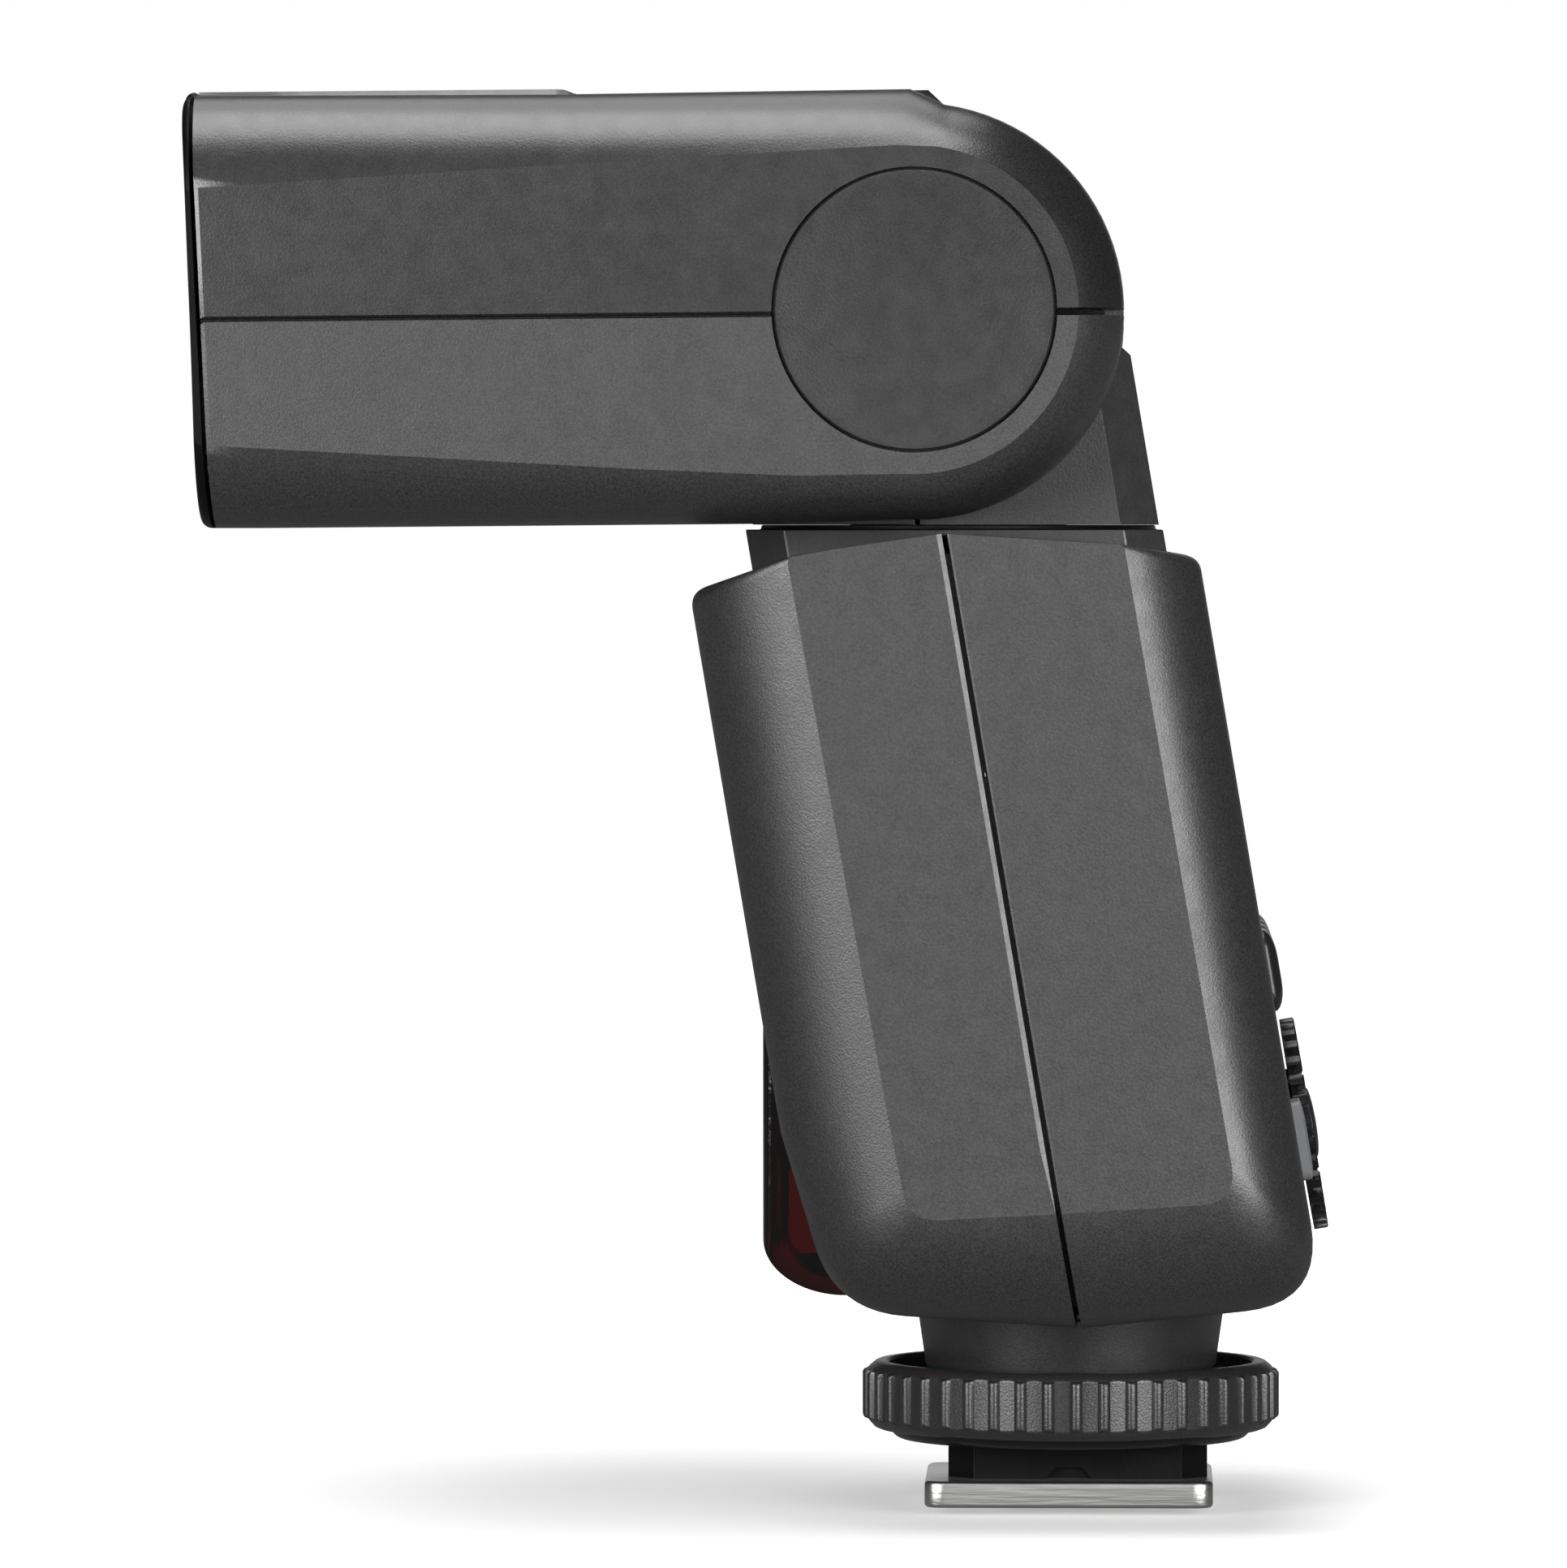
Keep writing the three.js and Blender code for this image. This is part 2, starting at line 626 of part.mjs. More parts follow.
function buildFoot() {
  const half = plateWidth / 2;
  const plateOutline = roundedRectangle(-half, half, -plateLength / 2, plateLength / 2, plateCorner);
  const insertFront = insertPlace - insertLength / 2;
  const insertRear = insertPlace + insertLength / 2;
  const insertHalf = insertWidth / 2;
  const screwHole = (grow) => footScrewPlaces.map(([x, y]) => union(
    solid(rodZ(x, y, footScrewHeadRadius + grow, -cutOver, footScrewHeadDepth + grow, smallTurnSteps)),
    solid(rodZ(x, y, footScrewRadius + grow, 0, footScrewLength + grow, smallTurnSteps))));
  const pinHole = solid(rodZ(0, lockPinPlace, lockPinRadius + gap, -cutOver, ringWebBottom, smallTurnSteps));
  add('foot_plate', 'world', 'satinMetal', cut(
    solid(prism(plateOutline, 0, plateThickness)),
    solid(box(-insertHalf - gap, insertHalf + gap, insertFront - gap, insertRear + gap, -cutOver, cutOver)),
    pinHole, ...screwHole(gap)));

  const blockHalf = blockWidth / 2;
  const blockOutline = chamfered(-blockHalf, blockHalf, blockFront, blockRear, blockChamfer);
  const contactHole = (x, y, radius) =>
    solid(rodZ(x, y, radius + gap, -cutOver, pinTop + pinTravel + gap, smallTurnSteps));
  const notchBottom = plateThickness;
  const notch = solid(prismX([
    [-notchWidth / 2, notchBottom], [notchWidth / 2, notchBottom],
    [notchWidth / 2 - notchHeight, notchBottom + notchHeight],
    [-notchWidth / 2 + notchHeight, notchBottom + notchHeight]], blockHalf - notchHeight, blockHalf + cutOver));
  add('foot_block', 'world', 'gloss', cut(
    union(
      solid(prism(blockOutline, plateThickness, blockTop)),
      solid(box(-insertHalf, insertHalf, insertFront, insertRear, 0, plateThickness + gap))),
    pinHole, notch, contactHole(0, centrePinPlace, centrePinRadius),
    ...smallPinPlaces.map(([x, y]) => contactHole(x, y, smallPinRadius)), ...screwHole(gap)));

  footScrewPlaces.forEach(([x, y], i) => {
    const head = solid(turnedZ(x, y, [
      [0, 0], [footScrewHeadRadius, 0], [footScrewRadius, footScrewHeadDepth],
      [footScrewRadius, footScrewLength], [0, footScrewLength]], smallTurnSteps));
    const slotHalf = footScrewSlot / 2;
    const bar = (dx, dy) => solid(box(x - dx, x + dx, y - dy, y + dy, -cutOver, footScrewSlot));
    const slotReach = footScrewHeadRadius * footScrewSlotShare;
    const slots = [bar(slotReach, slotHalf), bar(slotHalf, slotReach)];
    add(`foot_screw_${i + 1}`, 'world', 'satinMetal', cut(head, ...slots));
  });

  const contactPin = (x, y, radius) => turnedZ(x, y, [
    [0, -pinProud], [radius - pinTip, -pinProud], [radius, -pinProud + pinTip], [radius, pinTop], [0, pinTop],
  ], smallTurnSteps);
  add('centre_contact_pin', 'world', 'brass', contactPin(0, centrePinPlace, centrePinRadius));
  smallPinPlaces.forEach(([x, y], i) =>
    add(`contact_pin_${i + 1}`, 'world', 'brass', contactPin(x, y, smallPinRadius)));
  add('lock_pin', 'world', 'satinMetal', turnedZ(0, lockPinPlace, [
    [0, lockPinInset], [lockPinRadius - pinTip, lockPinInset], [lockPinRadius, lockPinInset + pinTip],
    [lockPinRadius, ringWebBottom - gap], [0, ringWebBottom - gap]], smallTurnSteps));
}

function buildLockRing() {
  const land = ringRadius - ringRibDepth;
  const ribOutline = Array.from({ length: ringRibs }, (_, i) => {
    const pitch = (2 * Math.PI) / ringRibs;
    const at = (radius, share) => {
      const angle = (i + share) * pitch;
      return [radius * Math.cos(angle), ringPlace + radius * Math.sin(angle)];
    };
    const slope = ringRibShare / 4;
    return [at(land, 0), at(ringRadius, slope), at(ringRadius, ringRibShare - slope), at(land, ringRibShare)];
  }).flat();
  const core = turnedZ(0, ringPlace, [
    [stemRadius + gap, ringWebBottom], [washerRadius + gap, ringWebBottom], [washerRadius + gap, ringBottom],
    [land - ringChamfer, ringBottom], [land, ringRibBottom], [ringRadius - ringRibDepth, ringRibTop],
    [land - ringChamfer, ringTop], [ringMouthRadius, ringTop], [ringMouthRadius, ringWebTop],
    [stemRadius + gap, ringWebTop]], ringRibs);
  const inside = (radius, from, to) => solid(rodZ(0, ringPlace, radius, from, to, ringRibs));
  add('lock_ring', 'world', 'gloss', cut(
    union(solid(core), solid(prism(ribOutline, ringRibBottom, ringRibTop))),
    inside(washerRadius + gap, 0, ringWebBottom), inside(stemRadius + gap, 0, ringTop),
    inside(ringMouthRadius, ringWebTop, ringTop + cutOver)));

  const washerTop = washerBottom + washerThickness;
  const disc = turnedZ(0, ringPlace, [
    [0, washerBottom], [washerRadius - washerEdge, washerBottom], [washerRadius, washerBottom + washerEdge],
    [washerRadius, ringWebBottom - gap], [washerRadius - washerRimWidth, ringWebBottom - gap],
    [washerRadius - washerRimWidth, washerTop], [0, washerTop]], 2 * turnSteps);
  const half = blockWidth / 2 + gap;
  add('clamp_washer', 'world', 'gloss', cut(solid(disc),
    solid(prism(chamfered(-half, half, blockFront - gap, blockRear + gap, blockChamfer), 0, ringTop))));
}

function buildNeck() {
  const profile = [
    [0, blockTop], [stemRadius, blockTop], [stemRadius, neckBottom], [neckBottomRadius, neckBottom],
    [neckTopRadius, neckTop], [0, neckTop]];
  const neck = cut(solid(turnedZ(0, ringPlace, profile, 2 * turnSteps)), solid(bodyCasing(-gap), bodyFrame));
  const spigot = solid(rodZ(0, ringPlace, stemRadius, blockTop, neckSpigotTop, 2 * turnSteps));
  add('shoe_neck', 'world', 'casing', cut(union(neck, spigot),
    solid(rodZ(0, ringPlace, neckBore, 0, neckSpigotTop + cutOver)),
    solid(rodZ(0, lockPinPlace, lockPinRadius + gap, 0, ringWebBottom, smallTurnSteps))));
}

// The outline of the collar and of the opening that it stands in, in the body's frame.
const collarPlan = (grow) => chamfered(-collarWidth / 2 - grow, collarWidth / 2 + grow,
  collarFront - grow, collarRear + grow, collarChamfer);

// A key's cap with a crown and a flange that keeps it in the shell.
function buttonSolid(x, w, wide, tall, out, corner) {
  const cap = roundedRectangle(w - tall / 2, w + tall / 2, x - wide / 2, x + wide / 2, corner);
  const crown = inset(cap, keyDome);
  const flangeOut = rearInner - gap;
  const flange = roundedRectangle(w - tall / 2 - keyFlange, w + tall / 2 + keyFlange,
    x - wide / 2 - keyFlange, x + wide / 2 + keyFlange, corner);
  return union(
    solid(prismY(cap, flangeOut - keyFlangeThickness, out - keyDome)),
    solid(prismY(crown, flangeOut - keyFlangeThickness, out)),
    solid(prismY(flange, flangeOut - keyFlangeThickness, flangeOut)));
}

function buildBodyShells() {
  const hollow = cut(solid(bodyCasing(0)), solid(bodyCasing(bodyWall)));
  const far = 2 * bodyHeight;
  const half = seamGap / 2;
  const doorHole = solid(box(-bodyHalf - cutOver, -bodyHalf + doorDepth + gap,
    doorFront - gap, doorRear + gap, -far, doorTop + gap));
  const opening = solid(prism(collarPlan(gap), collarBottom - cutOver, far));
  const neckHole = solid(rodZ(0, ringPlace, stemRadius + gap, 0, neckSpigotTop + cutOver, 2 * turnSteps),
    intoBody);
  const frontHalf = solid(box(-far, far, -far, bodySeamPlace - half, -far, far));
  const rearHalf = solid(box(-far, far, bodySeamPlace + half, far, -far, far));
  const lampHole = solid(box(-lampBlockHalfWidth - gap, lampBlockHalfWidth + gap, assistFront, assistInner,
    bodyBase + cutOver, lampBlockTop + gap), intoBody);
  add('body_front_shell', 'body', 'casing',
    cut(overlapOf(hollow, frontHalf), doorHole, opening, neckHole, lampHole));

  const collar = overlapOf(
    solid(rodY(0, dialHeight, dialCollarRadius, rearInner - gap, rearFace, 2 * turnSteps)),
    solid(box(-far, far, -far, rearFace, -far, far)));
  const hole = (x, w, wide, tall, corner) => solid(prismY(roundedRectangle(
    w - tall / 2 - gap, w + tall / 2 + gap, x - wide / 2 - gap, x + wide / 2 + gap, corner),
  rearInner - cutOver, rearFace + cutOver));
  const lcdSeat = solid(prismY(rectangle(lcdHeight - lcdTall / 2 - gap, lcdHeight + lcdTall / 2 + gap,
    -lcdWide / 2 - gap, lcdWide / 2 + gap), rearFace - lcdThickness - gap, rearFace + cutOver));
  const lcdOpening = solid(prismY(rectangle(
    lcdHeight - lcdTall / 2 + lcdLedge, lcdHeight + lcdTall / 2 - lcdLedge,
    -lcdWide / 2 + lcdLedge, lcdWide / 2 - lcdLedge), rearInner - cutOver, rearFace + cutOver));
  const slot = solid(prismY(rectangle(sliderHeight - sliderStemWidth / 2 - gap,
    sliderHeight + sliderTravel + sliderStemWidth / 2 + gap,
    sliderPlace - sliderStemWidth / 2 - gap, sliderPlace + sliderStemWidth / 2 + gap),
  rearInner - cutOver, rearFace + cutOver));
  add('body_rear_shell', 'body', 'casing', cut(
    union(overlapOf(hollow, rearHalf), collar),
    doorHole, opening, neckHole, lcdSeat, lcdOpening, slot,
    solid(rodY(0, dialHeight, dialHubRadius + gap, 0, rearFace + cutOver)),
    ...keyPlaces.map((x) => hole(x, keyHeight, keyWide, keyTall, keyTall / 4)),
    hole(testButtonPlace, testButtonHeight, testButtonWide, testButtonTall, testButtonTall / 8)));
}

function buildAssistLamp() {
  const cornerPlace = assistFront + assistCornerLength;
  const corner = Array.from({ length: assistSteps + 1 }, (_, i) => {
    const angle = (i / assistSteps) * (Math.PI / 2);
    return [cornerPlace - assistCornerLength * Math.cos(angle),
      assistCornerTop - assistCornerHeight * Math.sin(angle)];
  });
  const profile = [[assistInner, assistTop], [assistFront, assistTop], ...corner,
    [assistInner, assistCornerTop - assistCornerHeight]];
  const body = solid(bodyCasing(-gap), bodyFrame);
  const plan = chamfered(-assistHalfWidth, assistHalfWidth, assistFront, -assistFront, assistSideChamfer);
  const outer = overlapOf(solid(prismX(profile, -assistHalfWidth, assistHalfWidth)),
    solid(prism(plan, 0, assistTop + cutOver)));
  const innerHalf = assistHalfWidth - assistWall;
  const inner = solid(prismX(inset(profile, assistWall), -innerHalf, innerHalf));
  add('assist_lamp_window', 'world', 'smokedRed', cut(outer, inner, body));

  const blockProfile = inset(profile, assistWall + lampBlockInset);
  add('assist_lamp_block', 'world', 'red', overlapOf(
    solid(prismX(blockProfile, -lampBlockHalfWidth, lampBlockHalfWidth)),
    solid(box(-bodyHalf, bodyHalf, assistFront, assistInner, bodyBase + cutOver + gap, lampBlockTop))));
}

function buildControls() {
  const innerRadius = dialRadius - dialToothDepth;
  const pitch = (2 * Math.PI) / dialTeeth;
  const toothOutline = Array.from({ length: dialTeeth }, (_, i) =>
    [[innerRadius, 0], [dialRadius, 0], [dialRadius, dialToothShare], [innerRadius, dialToothShare]]
      .map(([radius, share]) => {
        const angle = (i + share) * pitch;
        return [dialHeight + radius * Math.cos(angle), radius * Math.sin(angle)];
      })).flat();
  add('select_dial', 'body', 'gloss', cut(
    union(solid(prismY(toothOutline, rearFace + gap, dialOut)),
      solid(rodY(0, dialHeight, dialHubRadius, dialHubIn, dialOut))),
    solid(rodY(0, dialHeight, setButtonRadius + gap, 0, dialOut + cutOver))));
  add('set_button', 'body', 'gloss', turnedY(0, dialHeight, [
    [0, setButtonIn], [setButtonRadius, setButtonIn], [setButtonRadius, setButtonOut - pinTip],
    [setButtonRadius - pinTip, setButtonOut], [0, setButtonOut]]));
  keyPlaces.forEach((x, i) => add(`menu_key_${i + 1}`, 'body', 'gloss',
    buttonSolid(x, keyHeight, keyWide, keyTall, keyOut, keyTall / 4)));
  add('test_button', 'body', 'grey', buttonSolid(testButtonPlace, testButtonHeight, testButtonWide,
    testButtonTall, testButtonOut, testButtonTall / 8));

  const capBottom = sliderHeight - sliderTall / 2;
  const capTop = sliderHeight + sliderTall / 2;
  const stemHalf = sliderStemWidth / 2;
  add('power_slider', 'body', 'gloss', union(
    solid(prismY(roundedRectangle(capBottom, capTop, sliderPlace - sliderWide / 2, sliderPlace + sliderWide / 2,
      stemHalf), rearFace + gap, sliderOut)),
    solid(prismY(rectangle(sliderHeight - stemHalf, sliderHeight + stemHalf, sliderPlace - stemHalf,
      sliderPlace + stemHalf), rearInner - gap - keyFlangeThickness, sliderOut)),
    solid(prismY(rectangle(capBottom, capTop, sliderPlace - sliderWide / 2, sliderPlace + sliderWide / 2),
      rearInner - gap - keyFlangeThickness, rearInner - gap))));
}

function buildElectronics() {
  add('lcd_window', 'body', 'gloss', prismY(rectangle(lcdHeight - lcdTall / 2, lcdHeight + lcdTall / 2,
    -lcdWide / 2, lcdWide / 2), rearFace - lcdThickness, rearFace));
  const moduleOut = rearInner - gap;
  add('lcd_module', 'body', 'grey', prismY(rectangle(lcdHeight - lcdTall / 2, lcdHeight + lcdTall / 2,
    -lcdWide / 2, lcdWide / 2), moduleOut - lcdModuleThickness, moduleOut));
  add('main_board', 'body', 'board', prismY(rectangle(boardBottom, boardTop, -boardWide / 2, boardWide / 2),
    boardPlace, boardPlace + boardThickness));

  const trayOuter = rectangle(cellPlace - trayHalf, cellPlace + trayHalf, trayBottom, trayTop);
  const cells = cellHeights.map((w) =>
    solid(rodX(cellPlace, w, cellRadius + gap, trayEnd - cutOver, contactEnd + contactThickness + gap)));
  const slotBetween = solid(prismX(rectangle(cellPlace - cellRadius / 2, cellPlace + cellRadius / 2,
    cellHeights[0], cellHeights[1]), trayEnd - cutOver, contactEnd + contactThickness + gap));
  const trayBlock = solid(prismX(trayOuter, trayEnd, contactEnd + contactThickness + gap + trayWall));
  add('battery_tray', 'body', 'gloss',
    cut(overlapOf(trayBlock, solid(bodyCasing(bodyWall + gap))), ...cells, slotBetween));
  const contactOutline = rectangle(cellPlace - cellRadius / 2 + gap, cellPlace + cellRadius / 2 - gap,
    cellHeights[0] - cellRadius / 2, cellHeights[1] + cellRadius / 2);
  add('battery_contact_plate', 'body', 'satinMetal',
    prismX(contactOutline, contactEnd, contactEnd + contactThickness));
  ['lower', 'upper'].forEach((which, i) => {
    const toNub = i === 0 ? 1 : -1;
    const start = trayEnd + gap + (toNub < 0 ? cellNubLength : 0);
    const body = solid(rodX(cellPlace, cellHeights[i], cellRadius, start, start + cellLength));
    const nubFrom = toNub > 0 ? start + cellLength - gap : start - cellNubLength;
    const nub = solid(rodX(cellPlace, cellHeights[i], cellNubRadius, nubFrom,
      nubFrom + cellNubLength + gap, smallTurnSteps));
    add(`battery_cell_${which}`, 'body', 'cell', union(body, nub));
  });

  const capacitorRadius = (bodyHeight - capacitorHeadroom - trayTop) / 2;
  const capacitorHeight = trayTop + gap + capacitorRadius;
  const capacitorPlace = capacitorInset + capacitorRadius - halfDepth;
  add('main_capacitor', 'body', 'gloss',
    rodX(capacitorPlace, capacitorHeight, capacitorRadius, -capacitorLength / 2, capacitorLength / 2));
  const transformerRear = cellPlace - trayHalf - gap;
  add('flash_transformer', 'body', 'grey', box(
    transformerPlace - transformerWide / 2, transformerPlace + transformerWide / 2,
    transformerRear - transformerDeep, transformerRear,
    transformerHeight - transformerTall / 2, transformerHeight + transformerTall / 2));
}

function buildBatteryDoor() {
  const pinX = -bodyHalf + doorEdgeRadius;
  const pinU = doorFront + doorEdgeRadius;
  const inner = -bodyHalf + doorDepth;
  const far = 2 * bodyHeight;
  const slab = solid(box(-bodyHalf - cutOver, inner, pinU, doorRear, -far, doorTop));
  const edge = solid(rodZ(pinX, pinU, doorEdgeRadius, -bodyBase, doorTop));
  const knuckle = (w) => union(
    solid(rodZ(pinX, pinU, knuckleRadius, w - knuckleTall / 2, w + knuckleTall / 2)),
    solid(box(pinX, inner + gap + railThickness, pinU - knuckleRadius, pinU + knuckleRadius,
      w - knuckleTall / 2, w + knuckleTall / 2)));
  const knuckleNotch = (w) => solid(box(-bodyHalf - cutOver, inner + cutOver,
    pinU - doorEdgeRadius - cutOver, pinU + knuckleRadius + gap,
    w - knuckleTall / 2 - gap, w + knuckleTall / 2 + gap));
  const pinTopEnd = knuckleHeights[1] + knuckleTall / 2 + gap;
  const pinBottomEnd = knuckleHeights[0] - knuckleTall / 2 - gap;
  const pinRun = (grow) => solid(rodZ(pinX, pinU, doorPinRadius + grow,
    pinBottomEnd - cutOver / 2 - grow, pinTopEnd + cutOver / 2 + grow, smallTurnSteps));
  add('battery_door', 'body', 'casing', cut(
    overlapOf(solid(bodyCasing(0)), union(slab, edge)),
    ...knuckleHeights.map(knuckleNotch), pinRun(gap)));

  const rail = solid(box(inner + gap, inner + gap + railThickness, pinU - knuckleRadius,
    pinU - knuckleRadius + railWide, railFloor + doorTravel, railTop));
  add('door_slide_rail', 'body', 'satinMetal', union(rail,
    ...knuckleHeights.map(knuckle), pinRun(0)));

  const plateIn = inner + springPlateThickness;
  const pads = cellHeights.map((w) => solid(turnedX(cellPlace, w, [
    [0, inner], [springPadRadius, inner], [springPadRadius, plateIn], [springTipRadius, trayEnd], [0, trayEnd],
  ], smallTurnSteps)));
  add('battery_spring_plate', 'body', 'satinMetal', union(
    solid(prismX(rectangle(cellPlace - springPadRadius / 2, cellPlace + springPadRadius / 2,
      cellHeights[0], cellHeights[1]), inner, plateIn)), ...pads));
}

function buildSwivel() {
  const far = 2 * bodyHeight;
  const deckBottom = collarTop - collarDeck;
  const plan = collarPlan(0);
  const below = solid(box(-far, far, -far, far, -far, collarTop), intoBody);
  const innerPlan = collarPlan(-collarWall);
  const underDeck = solid(box(-far, far, -far, far, -far, deckBottom), intoBody);
  const bore = solid(rodZ(0, swivelPlace, hubRadius + gap, 0, far, 2 * turnSteps), intoBody);
  add('swivel_collar', 'body', 'casing', cut(
    overlapOf(solid(prism(plan, collarBottom, far)), below),
    overlapOf(solid(prism(innerPlan, 0, far)), underDeck), bore));

  const trunkFloor = pivotHeight + trunkBottom + trunkWall;
  const retainerTop = deckBottom - gap;
  const retainerBottom = retainerTop - retainerThickness;
  add('swivel_hub', 'world', 'satinMetal', turnedZ(0, swivelPlace, [
    [hubBore, retainerBottom - hubEnd], [hubRadius, retainerBottom - hubEnd], [hubRadius, trunkFloor + gap],
    [hubFlangeRadius, trunkFloor + gap], [hubFlangeRadius, trunkFloor + gap + hubFlangeThickness],
    [hubBore, trunkFloor + gap + hubFlangeThickness]]));
  add('swivel_retaining_ring', 'world', 'satinMetal', turnedZ(0, swivelPlace, [
    [hubRadius + gap, retainerBottom], [retainerRadius, retainerBottom], [retainerRadius, retainerTop],
    [hubRadius + gap, retainerTop]]));
}

function buildTrunk() {
  const half = trunkWidth / 2;
  const rearSlope = (trunkRear - trunkShoulderPlace) / (trunkShoulderHeight - trunkBottom);
  const frontReach = Math.hypot(trunkFront, trunkBottom);
  const tangent = Math.PI + Math.atan2(-trunkBottom, -trunkFront) - Math.acos(drumRadius / frontReach);
  const ledgeHeight = trunkShoulderHeight + trunkChamferHeight;
  const rearAngle = Math.asin(ledgeHeight / drumRadius);
  const drum = Array.from({ length: drumSteps + 1 }, (_, i) => {
    const angle = THREE.MathUtils.lerp(rearAngle, tangent, i / drumSteps);
    return [drumRadius * Math.cos(angle), drumRadius * Math.sin(angle)];
  });
  const profile = [[trunkFront, trunkBottom], [trunkRear, trunkBottom],
    [trunkShoulderPlace, trunkShoulderHeight], [trunkShoulderPlace - trunkChamferDepth, ledgeHeight], ...drum];
  const planAt = (z) => chamfered(-half, half,
    trunkFront - (z - trunkBottom) * Math.tan(tangent - Math.PI),
    trunkRear - (z - trunkBottom) * rearSlope, trunkCorner);
  const levels = [trunkBottom, drumRadius + gap];
  const lofted = loft(levels.map((z) => planAt(z).map(([x, y]) => new THREE.Vector3(z, x, y))));
  const upright = new THREE.Matrix4().makeBasis(
    new THREE.Vector3(0, 0, 1), new THREE.Vector3(1, 0, 0), new THREE.Vector3(0, 1, 0));
  const outer = overlapOf(solid(prismX(profile, -half, half)), solid(lofted, upright));
  const innerHalf = half - trunkWall;
  const hollowProfile = [[trunkFront, trunkBottom], [trunkRear, trunkBottom], ...drum];
  const inner = solid(prismX(inset(hollowProfile, trunkWall), -innerHalf, innerHalf));
  const far = 2 * bodyHeight;
  const hubHole = solid(rodZ(0, swivelPlace - pivotPlace, hubRadius + gap,
    -far, trunkBottom + trunkWall + gap));
  const axleHole = solid(rodX(0, 0, axleRadius + gap, -far, far));
  const trunk = cut(outer, inner, hubHole, axleHole);
  const splitAt = (from, to) => solid(box(-far, far, from, to, -far, far));
  add('trunk_front_cover', 'head', 'casing', overlapOf(trunk, splitAt(-far, -seamGap / 2)));
  add('trunk_rear_cover', 'head', 'casing', overlapOf(trunk, splitAt(seamGap / 2, far)));

  const cheekInner = slotHalfWidth + headWall;
  const innerFace = innerHalf - gap;
  [['left', 1], ['right', -1]].forEach(([side, sign]) => {
    const profileX = [
      [axleBore, innerFace - axleFlangeThickness], [axleInnerFlange, innerFace - axleFlangeThickness],
      [axleInnerFlange, innerFace], [axleRadius, innerFace], [axleRadius, cheekInner + gap],
      [axleOuterFlange, cheekInner + gap], [axleOuterFlange, cheekInner + gap + axleFlangeThickness],
      [axleBore, cheekInner + gap + axleFlangeThickness]];
    add(`tilt_axle_${side}`, 'head', 'satinMetal',
      turnedX(0, 0, profileX.map(([r, x]) => [r, sign * x])));
  });
}

// The head's outlines: flat side, plain full outline, and the middle with its raised front top.
function headOutline(top, bottom, radius, end) {
  const corners = (shares) => scaledShares(shares, headReach, headRise, headRise);
  const startAngle = Math.acos((topEnd + topEndChamfer) / headRadius);
  const endAngle = -Math.PI / 2 - Math.asin(topEnd / headRadius);
  const arc = Array.from({ length: headArcSteps + 1 }, (_, i) => {
    const angle = THREE.MathUtils.lerp(startAngle, endAngle, i / headArcSteps);
    return [radius * Math.cos(angle), radius * Math.sin(angle)];
  });
  return [...corners(top), end, ...arc, ...corners(bottom)].reverse();
}

const headFlat = headOutline(headFlatTopShares, headFlatBottomShares, headFlatRadius,
  [-topEndChamfer, headFlatRadius]);
const headEnd = [topEnd, headEndHeightShare * headRise];
const headPlain = headOutline(headPlainTopShares, headBottomShares, headRadius, headEnd);
const headMiddle = headOutline(headTopShares, headBottomShares, headRadius, headEnd);
const headHalf = headWidth / 2;
const headCasing = (wall) =>
  casing(headPlain, headFlat, headHalf, headRoll, [[raisedHalfWidth, headMiddle]], wall);

// The frame of the slanted front face: its y is zero on the face and grows towards the pivot.
const frontFace = new THREE.Matrix4().makeRotationX(frontSlant).setPosition(0,
  -headReach + headRise * Math.tan(frontSlant), 0);
const bezelBack = bezelStrip + gap;

// The slot between the cheeks, swept clear of the trunk; grown by a wall it gives the slot's own walls.
function slotSolid(grow) {
  const radius = slotRadius + grow;
  const arc = Array.from({ length: slotSteps + 1 }, (_, i) => {
    const angle = THREE.MathUtils.lerp(Math.PI, 0, i / slotSteps);
    return [radius * Math.cos(angle), radius * Math.sin(angle)];
  });
  const half = slotHalfWidth + grow;
  const far = 2 * headRadius;
  return union(
    solid(prismX([...arc, [radius, -far], [-radius, -far]], -half, half)),
    solid(prismX(rectangle(0, far, -far, 0), -half, half)),
    solid(prismX([[topEnd + topEndChamfer - grow, 0], [slotRear, 0], [slotRear, far],
      [topEnd + topEndChamfer - grow, far]], -half, half)));
}

// Cheek hollows end in a ledge that the pivot cap sits on.
const capOuterFace = headHalf;
const capInnerFace = headHalf - capThickness;
const ledgeOuter = capInnerFace - gap;
const ledgeInner = ledgeOuter - capLedgeThickness;

